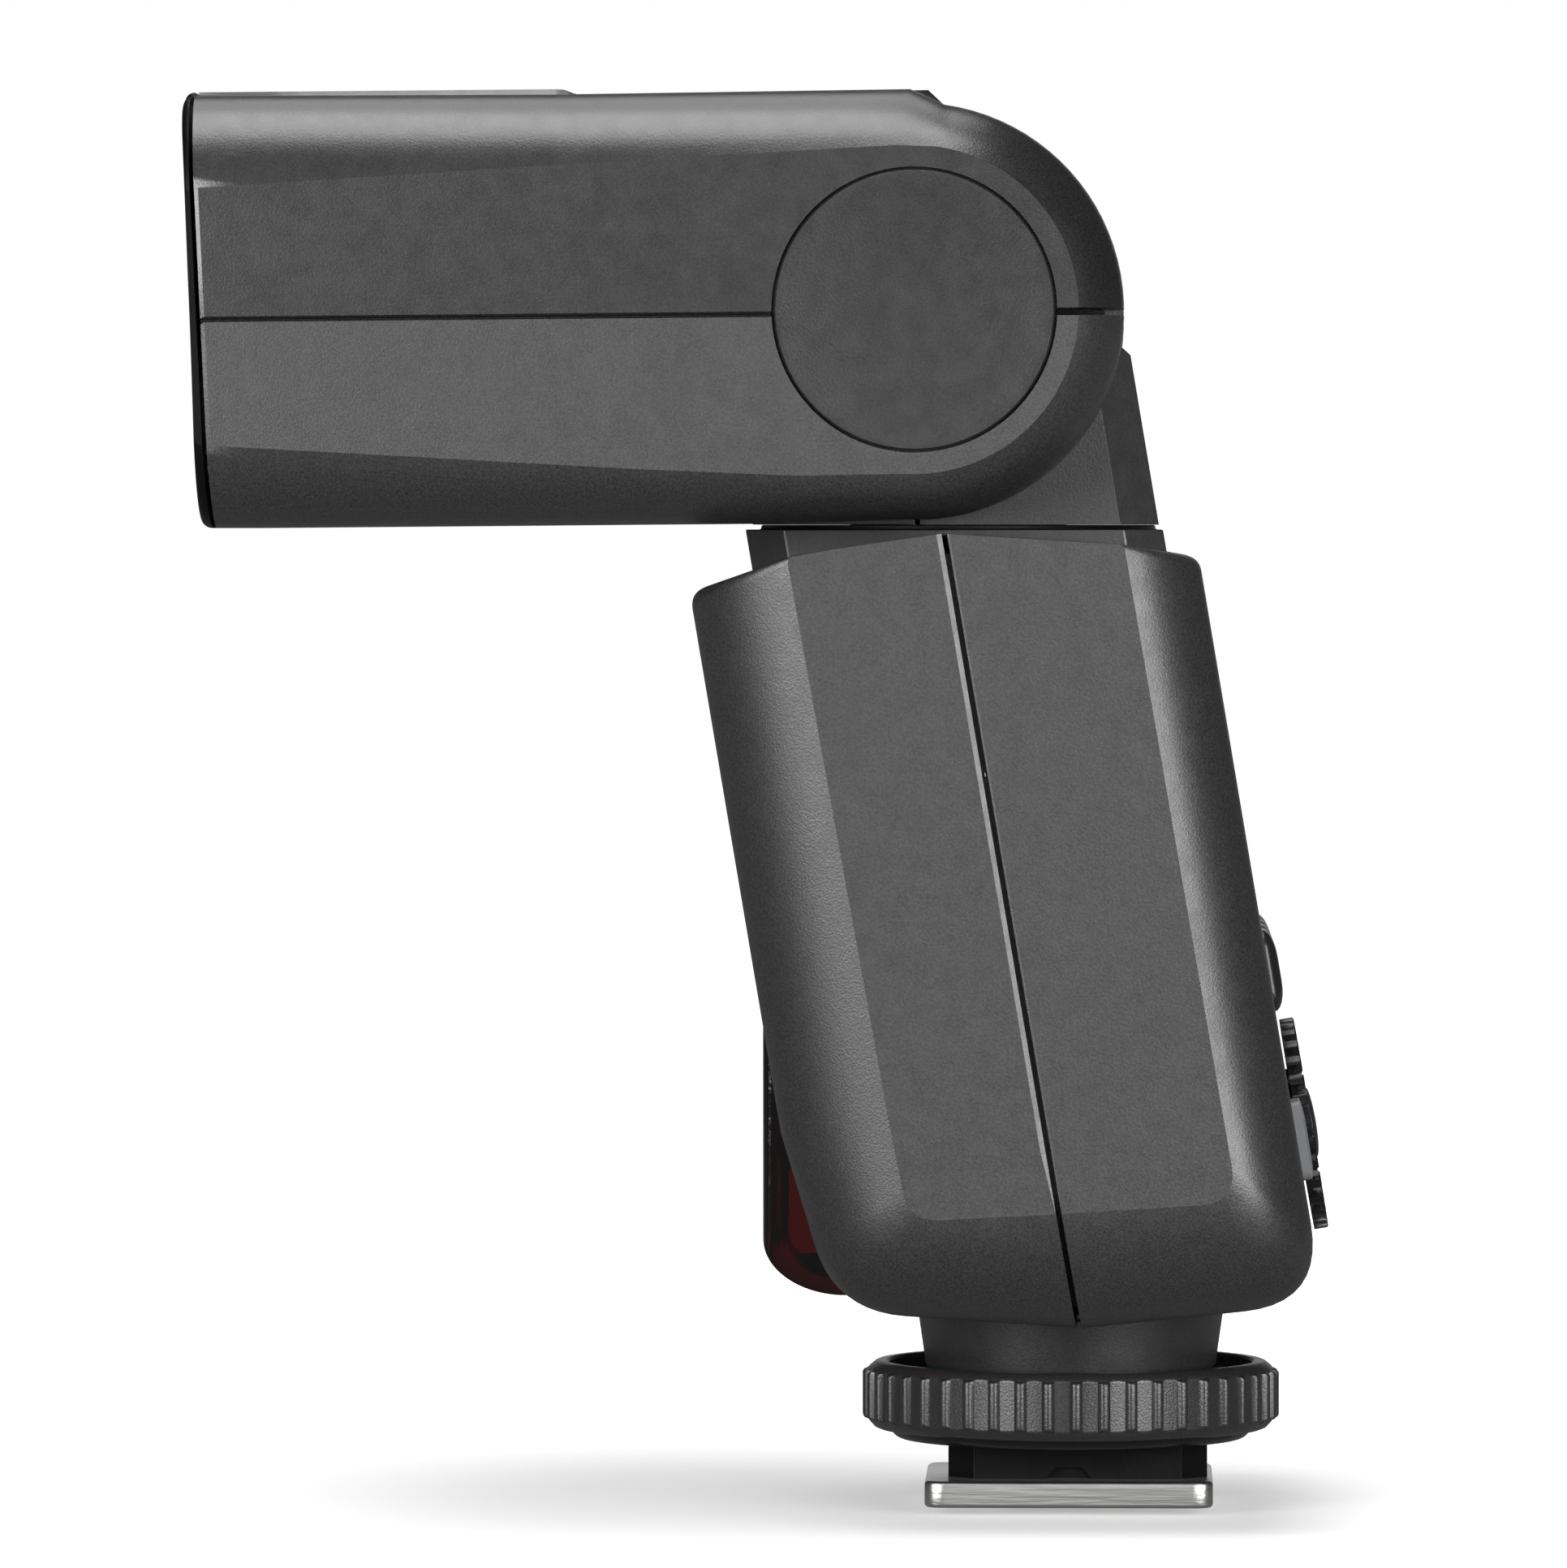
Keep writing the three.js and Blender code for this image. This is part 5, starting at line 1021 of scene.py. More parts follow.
@dataclass
class Body(SubAssembly):
    """The leaning body: two shells, lamp window, display, controls, battery door and collar.

    Attributes are sizes in the leaning frame, where y runs to the rear and z up the lean, and shares of
    half the depth and of the height.
    """

    local = Local.BODY
    width: float = 60
    depth: float = 36.7
    height: float = 57
    roll: float = 7.6
    wall: float = 2
    seam: float = 0.6
    seam_gap: float = 0.4
    seam_breaks: tuple[Pair, Pair] = ((0.15, 0.36), (0.07, 0.15))
    chamfer_ends: Pair = (7.6, 12)
    least_break_share: float = 0.1
    edge: float = 0.13
    bottom_crease: float = math.radians(9)
    crease_fade: Pair = (9, 16)
    full_shares: tuple[Corner, ...] = ((-1, 0.976, 0.082), (-0.572, 1), (0.027, 0.996), (0.717, 0.944),
                                       (1, 0.912, 0.075), (1, -0.046, 0.3), (0.045, -0.027),
                                       (-0.909, 0.046, 0.403), (-1, 0.281))
    flat_shares: tuple[Corner, ...] = ((-0.589, 0.999, 0.03), (-0.381, 0.999), (0.027, 0.996), (0.49, 0.961),
                                       (0.717, 0.944, 0.03), (0.73, 0.105, 0.136), (0.045, 0.128),
                                       (-0.55, 0.15, 0.136), (-0.562, 0.281))
    collar_plan: tuple[float, ...] = (-17.2, 17.2, -13.86, 16.14, 2.8)
    collar_bottom: float = 51
    collar_wall: float = 1.6
    collar_top: float = 71.85
    collar_deck: float = 3
    collar_lip: Pair = (14.6, 0.335)
    collar_edge: float = 0.14
    swivel_place: float = -8.25
    hub_hole: float = 8.3
    neck_place: float = 0.1
    stem_radius: float = 8
    spigot_top: float = 19.3
    door_y: Pair = (-8.6, 10.4)
    door_top: float = 38
    door_depth: float = 2.4
    door_edge: float = 1.2
    hinge_stop: float = math.radians(8)
    knuckle_heights: Pair = (15, 31)
    knuckle_tall: float = 4
    knuckle_radius: float = 0.95
    pin_hole: float = 0.8
    pin_levels: Pair = (11.3, 34.7)
    groove_depth: float = 0.35
    groove_half: float = 0.4
    groove_reach: Pair = (-2.5, 6.5)
    groove_levels: tuple[float, ...] = (26, 27.6, 29.2, 30.8, 32.4)
    dial_height: float = 9.3
    dial_radius: float = 7.9
    dial_teeth: int = 30
    dial_out: float = 19.72
    lug_height: float = 0.72
    lug_width: float = 1.3
    lug_notch: float = 0.55
    lug_shares: tuple[float, ...] = (0.0, 0.06, 0.12, 0.48, 0.54, 0.6, 0.8)
    lug_rises: tuple[float, ...] = (0.0, 0.88, 1.0, 1.0, 0.88, 0.0, 0.0)
    lug_break: float = 0.1
    lug_outer_break: float = 0.12
    lug_inner_break: float = 0.15
    lug_toe: float = 0.2
    dial_floor: float = 0.25
    dial_foot: float = 13.6
    set_radius: float = 2.6
    set_room: float = 2.9
    set_foot: float = 13
    set_tip: float = 20.1
    set_tip_radius: float = 0.1
    set_crown: float = 0.35
    set_crown_steps: int = 8
    set_steps: int = 48
    dial_hub: float = 4.2
    dial_collar: float = 8.5
    key_height: float = 21.6
    key_size: Pair = (8.4, 6)
    key_spacing: float = 10.6
    key_count: int = 4
    key_out: float = 19.2
    key_dome: float = 0.85
    key_flange: Pair = (0.7, 0.9)
    key_taper: float = 0.34
    key_corner_taper: float = 0.4
    least_key_corner: float = 0.3
    test_place: Pair = (17.2, 9.1)
    test_size: Pair = (5.6, 5.8)
    test_dome: float = 0.25
    slider_place: Pair = (-17.2, 7.2)
    slider_size: Pair = (5, 3.6)
    slider_travel: float = 3.6
    slider_stem: float = 2
    slider_out: float = 19.1
    slider_overlap: float = 0.5
    slider_catch: float = 0.9
    grip_pitch: float = 0.75
    grip_half: float = 0.15
    grip_depth: float = 0.2
    grip_margin: float = 0.7
    display_height: float = 39.4
    display_size: Pair = (33, 20)
    display_thickness: float = 0.9
    display_ledge: float = 1.5
    display_corner: float = 0.8
    display_edge: float = 0.2
    lamp_front: float = -22.3
    lamp_half: float = 15.0
    lamp_top: float = 37.5
    lamp_inner: float = -12.0
    lamp_wall: float = 1.1
    lamp_side: float = 0.8
    lamp_corner: Pair = (6.05, 4.2)
    lamp_corner_top: float = 20.2
    lamp_corner_steps: int = 24
    lamp_block_half: float = 10
    lamp_block_gap: float = 0.7
    lamp_block_levels: Pair = (18.8, 25)
    lamp_room_half: float = 10.3
    lamp_room_levels: Pair = (18.5, 25.3)
    shield_half: float = 0.5

    @property
    def rear(self) -> float:
        """The outer face of the rear wall."""
        return self.depth / 2

    @property
    def rear_inside(self) -> float:
        """The inner face of the rear wall."""
        return self.depth / 2 - self.wall

    @property
    def key_places(self) -> list[float]:
        """The x of each key in the row."""
        return [(index - (self.key_count - 1) / 2) * self.key_spacing for index in range(self.key_count)]

    def casing(self) -> Casing:
        """The body's whole casing."""
        half = self.depth / 2
        return Casing(scaled(self.full_shares, half, self.height, half),
                      scaled(self.flat_shares, half, self.height, half), self.width / 2, self.roll,
                      crease=self.crease)

    def crease(self, place: Pair) -> float:
        """The crease's angle, which fades towards the bottom of the flat side."""
        low, high = self.crease_fade
        share = min(max((place[1] - low) / (high - low), 0), 1)
        return self.bottom_crease + (CREASE_ANGLE - self.bottom_crease) * share

    def button_hole(self, place: Pair, size: Pair, corner: float) -> bpy.types.Object:
        """A hole through the rear wall with a gap all round a key's cap."""
        outline = rounded_box(place[0] - size[0] / 2 - GAP, place[0] + size[0] / 2 + GAP,
                              place[1] - size[1] / 2 - GAP, place[1] + size[1] / 2 + GAP, corner)
        return prism("button_hole", outline, self.rear_inside - OVERRUN, self.rear + OVERRUN, Along.Y)

    def door_room(self) -> bpy.types.Object:
        """The recess of the battery door in the right side."""
        half = self.width / 2
        return block("door_room", (-half - OVERRUN, -half + self.door_depth + GAP),
                     (self.door_y[0] - GAP, self.door_y[1] + GAP), (-FAR, self.door_top + GAP))

    def neck_hole(self) -> bpy.types.Object:
        """The hole for the neck's stem, upright in the leaning shell."""
        hole = rod("neck_hole", (0, self.neck_place), self.stem_radius + GAP, 0, self.spigot_top + OVERRUN)
        return into(hole, Local.BODY)

    def seam_band(self) -> bpy.types.Object:
        """The gap between the shells."""
        gap = self.seam_gap / 2
        return block("band", (-FAR, FAR), (self.seam - gap, self.seam + gap), (-FAR, FAR))

    def seam_chamfers(self) -> list[bpy.types.Object]:
        """The cutters that break the seam's edges along the two flat sides."""
        start, full = self.chamfer_ends
        levels = ((start, self.least_break_share), (full, 1), (FAR, 1))
        return [loft("seam_chamfer", [self.break_ring(sign, level, share) for level, share in levels])
                for sign in (1, -1)]

    def break_ring(self, sign: int, level: float, share: float) -> Ring:
        """The section of one seam chamfer's cutter at a level, with a share of its depth."""
        half, gap = self.width / 2, self.seam_gap / 2
        ring = []
        for side, (deep, wide) in zip((-1, 1), self.seam_breaks):
            deep, wide = deep * share, wide * share
            reach = gap + wide * (GAP + deep) / deep
            outer = Vector((sign * (half + GAP), self.seam + side * reach, level))
            inner = Vector((sign * (half - deep), self.seam + side * gap, level))
            ring += [outer, inner] if side < 0 else [inner, outer]
        return ring

    def build_shells(self) -> None:
        """Front and rear shell with every opening."""
        shell = self.casing().solid("body_shell")
        x0, x1, y0, y1, cut = self.collar_plan
        opening = prism("opening", chamfered(x0 - GAP, x1 + GAP, y0 - GAP, y1 + GAP, cut),
                        self.collar_bottom - OVERRUN, FAR, Along.Z)
        carve(shell, Carve.CUT, self.casing().solid("hollow", self.wall), self.door_room(), opening,
              self.neck_hole())
        groove = self.casing().groove(self.seam_band())
        rear = twin(shell, "rear_casing")
        shell.name = "front_casing"
        lamp_hole = into(block("lamp_hole", (-self.lamp_room_half, self.lamp_room_half),
                               (self.lamp_front, self.lamp_inner), self.lamp_room_levels), Local.BODY)
        carve(shell, Carve.KEEP, block("front_side", (-FAR, FAR), (-FAR, self.seam - SPLIT / 2), (-FAR, FAR)))
        carve(shell, Carve.CUT, twin(groove, "front_groove"), *self.seam_chamfers())
        carve(shell, Carve.CUT, lamp_hole)
        self.dress(soften(shell, self.edge, angle=55), CASING, "body", "body_front_shell",
                   crease=self.width / 2)

        carve(rear, Carve.KEEP, block("rear_side", (-FAR, FAR), (self.seam + SPLIT / 2, FAR), (-FAR, FAR)))
        carve(rear, Carve.CUT, groove, *self.seam_chamfers())
        collar = rod("dial_seat", (0, self.dial_height), self.dial_collar, self.rear_inside - GAP, self.rear,
                     Along.Y)
        carve(rear, Carve.JOIN, collar)
        wide, tall = self.display_size
        seat = block("seat", (-wide / 2 - GAP, wide / 2 + GAP),
                     (self.rear - self.display_thickness - GAP, FAR),
                     (self.display_height - tall / 2 - GAP, self.display_height + tall / 2 + GAP))
        glass = block("glass_hole", (-wide / 2 + self.display_ledge, wide / 2 - self.display_ledge),
                      (self.rear_inside - OVERRUN, FAR),
                      (self.display_height - tall / 2 + self.display_ledge,
                       self.display_height + tall / 2 - self.display_ledge))
        stem = self.slider_stem / 2 + GAP
        x, z = self.slider_place
        slot = block("slider_slot", (x - stem, x + stem), (self.rear_inside - OVERRUN, FAR),
                     (z - stem, z + self.slider_travel + stem))
        hub = rod("hub_hole", (0, self.dial_height), self.dial_hub + GAP, 0, FAR, Along.Y)
        keys = [self.button_hole((place, self.key_height), self.key_size, self.key_size[1] / 4)
                for place in self.key_places]
        test = self.button_hole(self.test_place, self.test_size, self.test_size[1] / 8)
        carve(rear, Carve.CUT, seat, glass, slot, hub, *keys, test)
        self.dress(soften(rear, self.edge, angle=55), CASING, "body", "body_rear_shell",
                   crease=self.width / 2)

    def build_collar(self) -> None:
        """The chamfered collar that the trunk turns on."""
        x0, x1, y0, y1, cut = self.collar_plan
        wall = self.collar_wall
        collar = prism("trunk_collar", chamfered(x0, x1, y0, y1, cut), self.collar_bottom, FAR, Along.Z)
        inner = prism("collar_room", chamfered(x0 + wall, x1 - wall, y0 + wall, y1 - wall, cut), 0, FAR,
                      Along.Z)
        below = into(block("below", (-FAR, FAR), (-FAR, FAR), (-FAR, self.collar_top)), Local.BODY)
        deck = into(block("deck", (-FAR, FAR), (-FAR, FAR), (-FAR, self.collar_top - self.collar_deck)),
                    Local.BODY)
        bore = into(rod("bore", (0, self.swivel_place), self.hub_hole, 0, FAR), Local.BODY)
        carve(inner, Carve.KEEP, deck)
        radius, height = self.collar_lip
        lip = into(rod("lip", (0, self.swivel_place), radius, self.collar_top - self.collar_deck / 2,
                       self.collar_top + height), Local.BODY)
        carve(collar, Carve.KEEP, below)
        carve(collar, Carve.JOIN, lip)
        carve(collar, Carve.CUT, inner, bore)
        self.dress(soften(collar, self.collar_edge, angle=25), COVER, "body", "swivel_collar")

    def domed_key(self, name: str, place: Pair, size: Pair, out: float, corner: float, dome: float,
                  steps: int = 6) -> bpy.types.Object:
        """A key cap with a crown, on a flange that keeps it in the shell.

        Args:
            name: the new piece's name.
            place: its x and height.
            size: its width and height.
            out: how far the crown reaches.
            corner: the radius of its corners.
            dome: how high the crown rises over the straight side.
            steps: the number of rings in the crown.

        Returns:
            The key.
        """
        flange_out = self.rear_inside - GAP
        wide, tall = size
        grow, thick = self.key_flange

        def ring(shrink: float, level: float, grow: float = 0.0) -> Ring:
            """The key's outline at a level, made smaller or larger all round."""
            a, b = wide / 2 - shrink + grow, tall / 2 - shrink + grow
            points = rounded_box(place[0] - a, place[0] + a, place[1] - b, place[1] + b,
                                 max(corner - shrink * self.key_corner_taper, self.least_key_corner))
            return [Along.Y.spot(x, z, level) for x, z in points]

        rings = [ring(0, flange_out - thick, grow), ring(0, flange_out, grow), ring(0, flange_out),
                 ring(0, out - dome)]
        for step in range(1, steps + 1):
            angle = step / steps * math.pi / 2
            rings.append(ring(min(wide, tall) * self.key_taper * (1 - math.cos(angle)),
                              out - dome * (1 - math.sin(angle))))
        return loft(name, rings)

    def build_controls(self) -> None:
        """Dial, set button, key row, test button and power slider."""
        self.dress(self.dial(), GLOSS, "dial", "select_dial")
        radius, tip, steps = self.set_radius, self.set_tip, self.set_crown_steps
        crown = [(radius * math.cos(angle), tip - self.set_crown * (1 - math.sin(angle)))
                 for angle in [math.pi / 2 * step / steps for step in range(steps)]]
        button = turned("set_key_cap", (0, self.dial_height),
                        [(radius, self.set_foot), (radius, tip - self.set_crown), *crown,
                         (self.set_tip_radius, tip)], Along.Y, self.set_steps)
        self.dress(button, KEYCAP, "set_key", "set_button")
        for index, place in enumerate(self.key_places, 1):
            key = self.domed_key(f"row_key_{index}", (place, self.key_height), self.key_size, self.key_out,
                                 self.key_size[1] / 4, self.key_dome)
            self.dress(key, KEYCAP, f"key_{index}", f"menu_key_{index}")
        test = self.domed_key("test_key_cap", self.test_place, self.test_size, self.key_out,
                              self.test_size[1] / 8, self.test_dome)
        self.dress(test, GREY, "test_key", "test_button")
        x, z = self.slider_place
        wide, tall = self.slider_size
        stem = self.slider_stem / 2
        cap = prism("slider_cap", rounded_box(x - wide / 2, x + wide / 2, z - tall / 2, z + tall / 2, stem),
                    self.rear + GAP, self.slider_out, Along.Y)
        for ridge in range(-2, 3):
            level = x + ridge * self.grip_pitch
            carve(cap, Carve.CUT, block("grip", (level - self.grip_half, level + self.grip_half),
                                        (self.slider_out - self.grip_depth, FAR),
                                        (z - tall / 2 + self.grip_margin, z + tall / 2 - self.grip_margin)))
        foot = self.rear_inside - GAP
        overlap = self.slider_overlap
        carve(cap, Carve.JOIN,
              block("stem", (x - stem, x + stem), (foot - overlap, self.rear + overlap),
                    (z - stem, z + stem)),
              block("catch", (x - wide / 2, x + wide / 2), (foot - self.slider_catch, foot),
                    (z - tall / 2, z + tall / 2)))
        self.dress(cap, KEYCAP, "switch", "power_slider")

    def dial(self) -> bpy.types.Object:
        """The wheel with a crown of lugs round its face, and its hub with the room for the set button."""
        low = self.rear + GAP
        face = self.dial_out - self.lug_height
        outer = self.dial_radius
        pitch = 2 * math.pi / self.dial_teeth

        def ring(inwards: float, level: float, lug: float, notch: float = 0.0) -> Ring:
            """The wheel's outline at a level, with its lugs and the notches between them."""
            points = []
            for number in range(self.dial_teeth):
                for share, height in zip(self.lug_shares, self.lug_rises):
                    angle = (number + share) * pitch
                    radius = outer - inwards - notch * (1 - height)
                    points.append(Along.Y.spot(radius * math.cos(angle),
                                               self.dial_height + radius * math.sin(angle),
                                               level + lug * height))
            return points

        notch, lug, edge, width = self.lug_notch, self.lug_height, self.lug_break, self.lug_width
        floor = face - self.dial_floor
        wheel = loft("select_wheel", [ring(0, low, 0, notch / 2), ring(0, face - edge, lug, notch),
                                      ring(self.lug_outer_break, face, lug, notch),
                                      ring(width - self.lug_inner_break, face, lug),
                                      ring(width, face - edge, lug - edge),
                                      ring(width + self.lug_toe, floor, 0),
                                      ring(outer - self.dial_hub, floor, 0)])
        hub = rod("hub", (0, self.dial_height), self.dial_hub, self.dial_foot, self.dial_out - edge, Along.Y)
        carve(wheel, Carve.JOIN, hub)
        return carve(wheel, Carve.CUT,
                     rod("set_room", (0, self.dial_height), self.set_room, 0, FAR, Along.Y))

    def build_display(self) -> None:
        """The display's flush glass with its softly broken rim."""
        wide, tall = self.display_size
        outline = rounded_box(-wide / 2, wide / 2, self.display_height - tall / 2,
                              self.display_height + tall / 2, self.display_corner)
        glass = prism("display_cover", outline, self.rear - self.display_thickness, self.rear, Along.Y)
        self.dress(soften(glass, self.display_edge, segments=3, angle=50), DISPLAY, "body", "lcd_window")

    def build_lamp(self) -> None:
        """The smoked lamp window, the red lamp housing in it with a painted glow, and a dark partition round
        the housing.
        """
        front, half, inner, wall = self.lamp_front, self.lamp_half, self.lamp_inner, self.lamp_wall
        side, steps, low = self.lamp_side, self.lamp_corner_steps, self.lamp_corner_top
        length, height = self.lamp_corner
        sweep = [math.pi / 2 * step / steps for step in range(steps + 1)]
        corner = [(front + length * (1 - math.cos(angle)), low - height * math.sin(angle))
                  for angle in sweep]
        profile = [(inner, self.lamp_top), (front, self.lamp_top), *corner, (inner, low - height)]
        body_room = settle(self.casing().solid("body_room", -GAP), Local.BODY)
        window = prism("lamp_window", profile, -half, half, Along.X)
        plan = rounded([(-half, front, side), (half, front, side), (half, 0), (-half, 0)], steps=8)
        carve(window, Carve.KEEP, prism("plan", plan, 0, FAR, Along.Z))
        carve(window, Carve.CUT,
              prism("room", inset(profile, wall), -half + wall, half - wall, Along.X),
              twin(body_room, "seat"))
        housing = prism("lamp_housing", inset(profile, wall + self.lamp_block_gap),
                        -self.lamp_block_half, self.lamp_block_half, Along.X)
        carve(housing, Carve.KEEP,
              block("lamp_height", (-FAR, FAR), (front, inner), self.lamp_block_levels))
        thin = self.shield_half
        shield = prism("lamp_shield", inset(profile, wall + GAP), -thin, thin, Along.X)
        carve(shield, Carve.CUT, twin(body_room, "shield_seat"),
              block("lamp_room", (-2 * thin, 2 * thin), (front, 0), self.lamp_room_levels))
        for piece, finish, nodes, width in ((window, SMOKED, ["assist_lamp_window"], 0.16),
                                            (housing, PAINTED_GLOW_RED, ["assist_lamp_block"], 0.3),
                                            (shield, GLOSS, [], 0.1)):
            soften(piece, width, segments=3, angle=40)
            into(piece, Local.BODY)
            self.dress(piece, finish, "body", *nodes)
        pick(body_room)
        bpy.ops.object.delete()

    def build_door(self) -> None:
        """The battery door with its hinge edge and grip grooves."""
        half = self.width / 2
        inner = -half + self.door_depth
        pin = (-half + self.door_edge, self.door_y[0] + self.door_edge)
        door = self.casing().solid("battery_cover")
        turn = math.pi - self.hinge_stop
        hinge_edge = [(pin[0] + a, pin[1] + b) for a, b in circle(self.door_edge, 0, -turn, PIN_STEPS)]
        outline = [*hinge_edge, (-half - OVERRUN, hinge_edge[-1][1]), (-half - OVERRUN, self.door_y[1]),
                   (inner, self.door_y[1])]
        carve(door, Carve.KEEP, prism("slab", outline, -FAR, self.door_top, Along.Z))
        notches = [block("notch", (-half - OVERRUN, inner + OVERRUN),
                         (self.door_y[0] - OVERRUN, pin[1] + self.knuckle_radius + GAP),
                         (height - self.knuckle_tall / 2 - GAP, height + self.knuckle_tall / 2 + GAP))
                   for height in self.knuckle_heights]
        pin_hole = rod("pin_hole", pin, self.pin_hole, *self.pin_levels, Along.Z, PIN_STEPS)
        grooves = [block("groove", (-half - OVERRUN, -half + self.groove_depth), self.groove_reach,
                         (level - self.groove_half, level + self.groove_half))
                   for level in self.groove_levels]
        carve(door, Carve.CUT, *notches, pin_hole, *grooves)
        self.dress(soften(door, self.edge, angle=50), CASING, "door", "battery_door", crease=half)

    def build(self) -> None:
        """Builds the whole body."""
        self.build_shells()
        self.build_collar()
        self.build_controls()
        self.build_display()
        self.build_lamp()
        self.build_door()


@dataclass
class Foot(SubAssembly):
    """The hot-shoe foot: neck, lock ring, clamp washer, contact block, plate, pins and screws."""

    place: float = 0.1
    stem_radius: float = 8
    neck_bottom: float = 9.85
    neck_bottom_radius: float = 10.75
    neck_top: float = 19
    neck_top_radius: float = 12.05
    neck_bore: float = 5
    block_top: float = 6.4
    ring_radius: float = 15.45
    ring_bottom: float = 5.3
    ring_top: float = 10.3
    rib_bottom: float = 6.05
    rib_top: float = 9.65
    rib_depth: float = 0.45
    ribs: int = 46
    mouth_radius: float = 13.5
    web: Pair = (7.9, 9.3)
    washer_radius: float = 13.35
    washer_bottom: float = 4.55
    washer_thickness: float = 1.5
    washer_rim: float = 1.9
    plate_size: tuple[float, float, float] = (18.6, 21.2, 1.95)
    plate_corner: float = 1.5
    insert_size: Pair = (9.6, 12)
    insert_place: float = 1.6
    block_size: Pair = (12.4, 19.1)
    block_place: float = 0.65
    block_chamfer: float = 1.9
    notch_width: float = 3.6
    notch_height: float = 0.8
    centre_pin: tuple[float, float, float] = (0, -1.8, 1.1)
    small_pin_x: float = 2.9
    small_pin_rows: Pair = (3.3, 6.2)
    small_pin_radius: float = 0.7
    pin_bottom: float = -0.5
    pin_top: float = 4.6
    lock_pin: tuple[float, float, float] = (0, -7, 1)
    screw_x: float = 4
    screw_y: float = 8.6
    screw_head: float = 1.6
    screw_head_break: Pair = (0.25, 0.2)
    screw_shaft: float = 0.8
    screw_levels: Pair = (1, 5.2)
    screw_seat: float = 1.3
    shaft_hole: float = 1.1
    shaft_top: float = 5.5
    cross_slot: Pair = (0.95, 0.22)
    cross_depth: float = 0.5
    lock_hole: float = 1.3
    lock_tip: tuple[float, float, float] = (0.3, 0.3, 0.6)
    contact_hole_top: float = 5.4
    pin_tip: float = 0.08
    pin_crown: float = 0.35
    pin_crown_steps: int = 6
    spigot_top: float = 19.3
    neck_break: float = 0.2
    washer_lip: float = 0.9
    washer_lip_steps: int = 8
    rib_shares: tuple[float, ...] = (0.0, 0.06, 0.13, 0.23, 0.33, 0.40, 0.46, 0.6, 0.8)
    rib_rises: tuple[float, ...] = (0.0, 0.62, 0.9, 1.0, 0.9, 0.62, 0.0, 0.0, 0.0)
    notch_sink: float = 0.1
    block_edge: float = 0.15
    plate_edge: float = 0.28

    def pins(self) -> list[tuple[float, float, float]]:
        """Centre and radius of every contact pin."""
        small = [(x, y, self.small_pin_radius) for y in self.small_pin_rows
                 for x in (-self.small_pin_x, self.small_pin_x)]
        return [self.centre_pin, *small]

    def screw_holes(self) -> list[bpy.types.Object]:
        """The countersunk holes of the two foot screws."""
        return [rod("screw_hole", (x, self.screw_y), self.screw_head + GAP, -OVERRUN, self.screw_seat)
                for x in (-self.screw_x, self.screw_x)]

    def shaft_holes(self, top: float) -> list[bpy.types.Object]:
        """The holes of the two foot screws' shafts, up to a level."""
        return [rod("shaft_hole", (x, self.screw_y), self.shaft_hole, 0, top, Along.Z, PIN_STEPS)
                for x in (-self.screw_x, self.screw_x)]

    def build_neck(self) -> None:
        """The conical neck under the body, with the stem that goes through the ring."""
        neck = turned("hot_shoe_neck", (0, self.place),
                      [(self.stem_radius, self.block_top), (self.stem_radius, self.neck_bottom),
                       (self.neck_bottom_radius - self.neck_break, self.neck_bottom),
                       (self.neck_bottom_radius, self.neck_bottom + self.neck_break),
                       (self.neck_top_radius, self.neck_top)])
        body = settle(Body().casing().solid("body_room", -GAP), Local.BODY)
        carve(neck, Carve.CUT, body)
        carve(neck, Carve.JOIN,
              rod("spigot", (0, self.place), self.stem_radius, self.block_top, self.spigot_top))
        carve(neck, Carve.CUT, rod("bore", (0, self.place), self.neck_bore, 0, FAR),
              rod("lock_hole", (0, self.lock_pin[1]), self.lock_hole, 0, self.web[0], Along.Z, PIN_STEPS))
        self.dress(neck, COVER, "body", "shoe_neck")

    def build_ring(self) -> None:
        """The ribbed lock ring: one round rib after another round a chamfered wheel."""
        land = self.ring_radius - self.rib_depth
        pitch = 2 * math.pi / self.ribs

        def ring(radius: float, rib: float, level: float) -> Ring:
            """The wheel's outline at a level, with its ribs."""
            points = []
            for number in range(self.ribs):
                for share, height in zip(self.rib_shares, self.rib_rises):
                    angle = (number + share) * pitch
                    reach = radius + rib * height
                    points.append(Vector((reach * math.cos(angle), self.place + reach * math.sin(angle),
                                          level)))
            return points

        low, high, rib = self.rib_bottom, self.rib_top, self.rib_depth
        bore = self.washer_radius + GAP
        rows = [(bore, 0, self.web[0]), (bore, 0, self.ring_bottom + 0.15),
                (bore + 0.15, 0, self.ring_bottom),
                (land - 0.75, 0, self.ring_bottom), (land - 0.45, 0, self.ring_bottom + 0.12),
                (land - 0.1, 0, low - 0.25), (land, 0, low - 0.05), (land, rib * 0.7, low + 0.05),
                (land, rib, low + 0.25), (land, rib, high - 0.25), (land, rib * 0.7, high - 0.05),
                (land, 0, high + 0.05), (land - 0.08, 0, high + 0.22), (land - 0.5, 0, self.ring_top - 0.08),
                (land - 0.7, 0, self.ring_top), (self.mouth_radius + 0.2, 0, self.ring_top),
                (self.mouth_radius, 0, self.ring_top - 0.2), (self.mouth_radius, 0, self.web[1]),
                (self.stem_radius + GAP, 0, self.web[1]), (self.stem_radius + GAP, 0, self.web[0])]
        wheel = loft("knurled_lock_wheel", [ring(*row) for row in rows], capped=False)
        self.dress(wheel, RIBBED, "ring", "lock_ring")

    def block_outline(self, grow: float = 0.0) -> Outline:
        """The chamfered outline of the contact block."""
        half, long = self.block_size[0] / 2 + grow, self.block_size[1] / 2 + grow
        return chamfered(-half, half, self.block_place - long, self.block_place + long, self.block_chamfer)

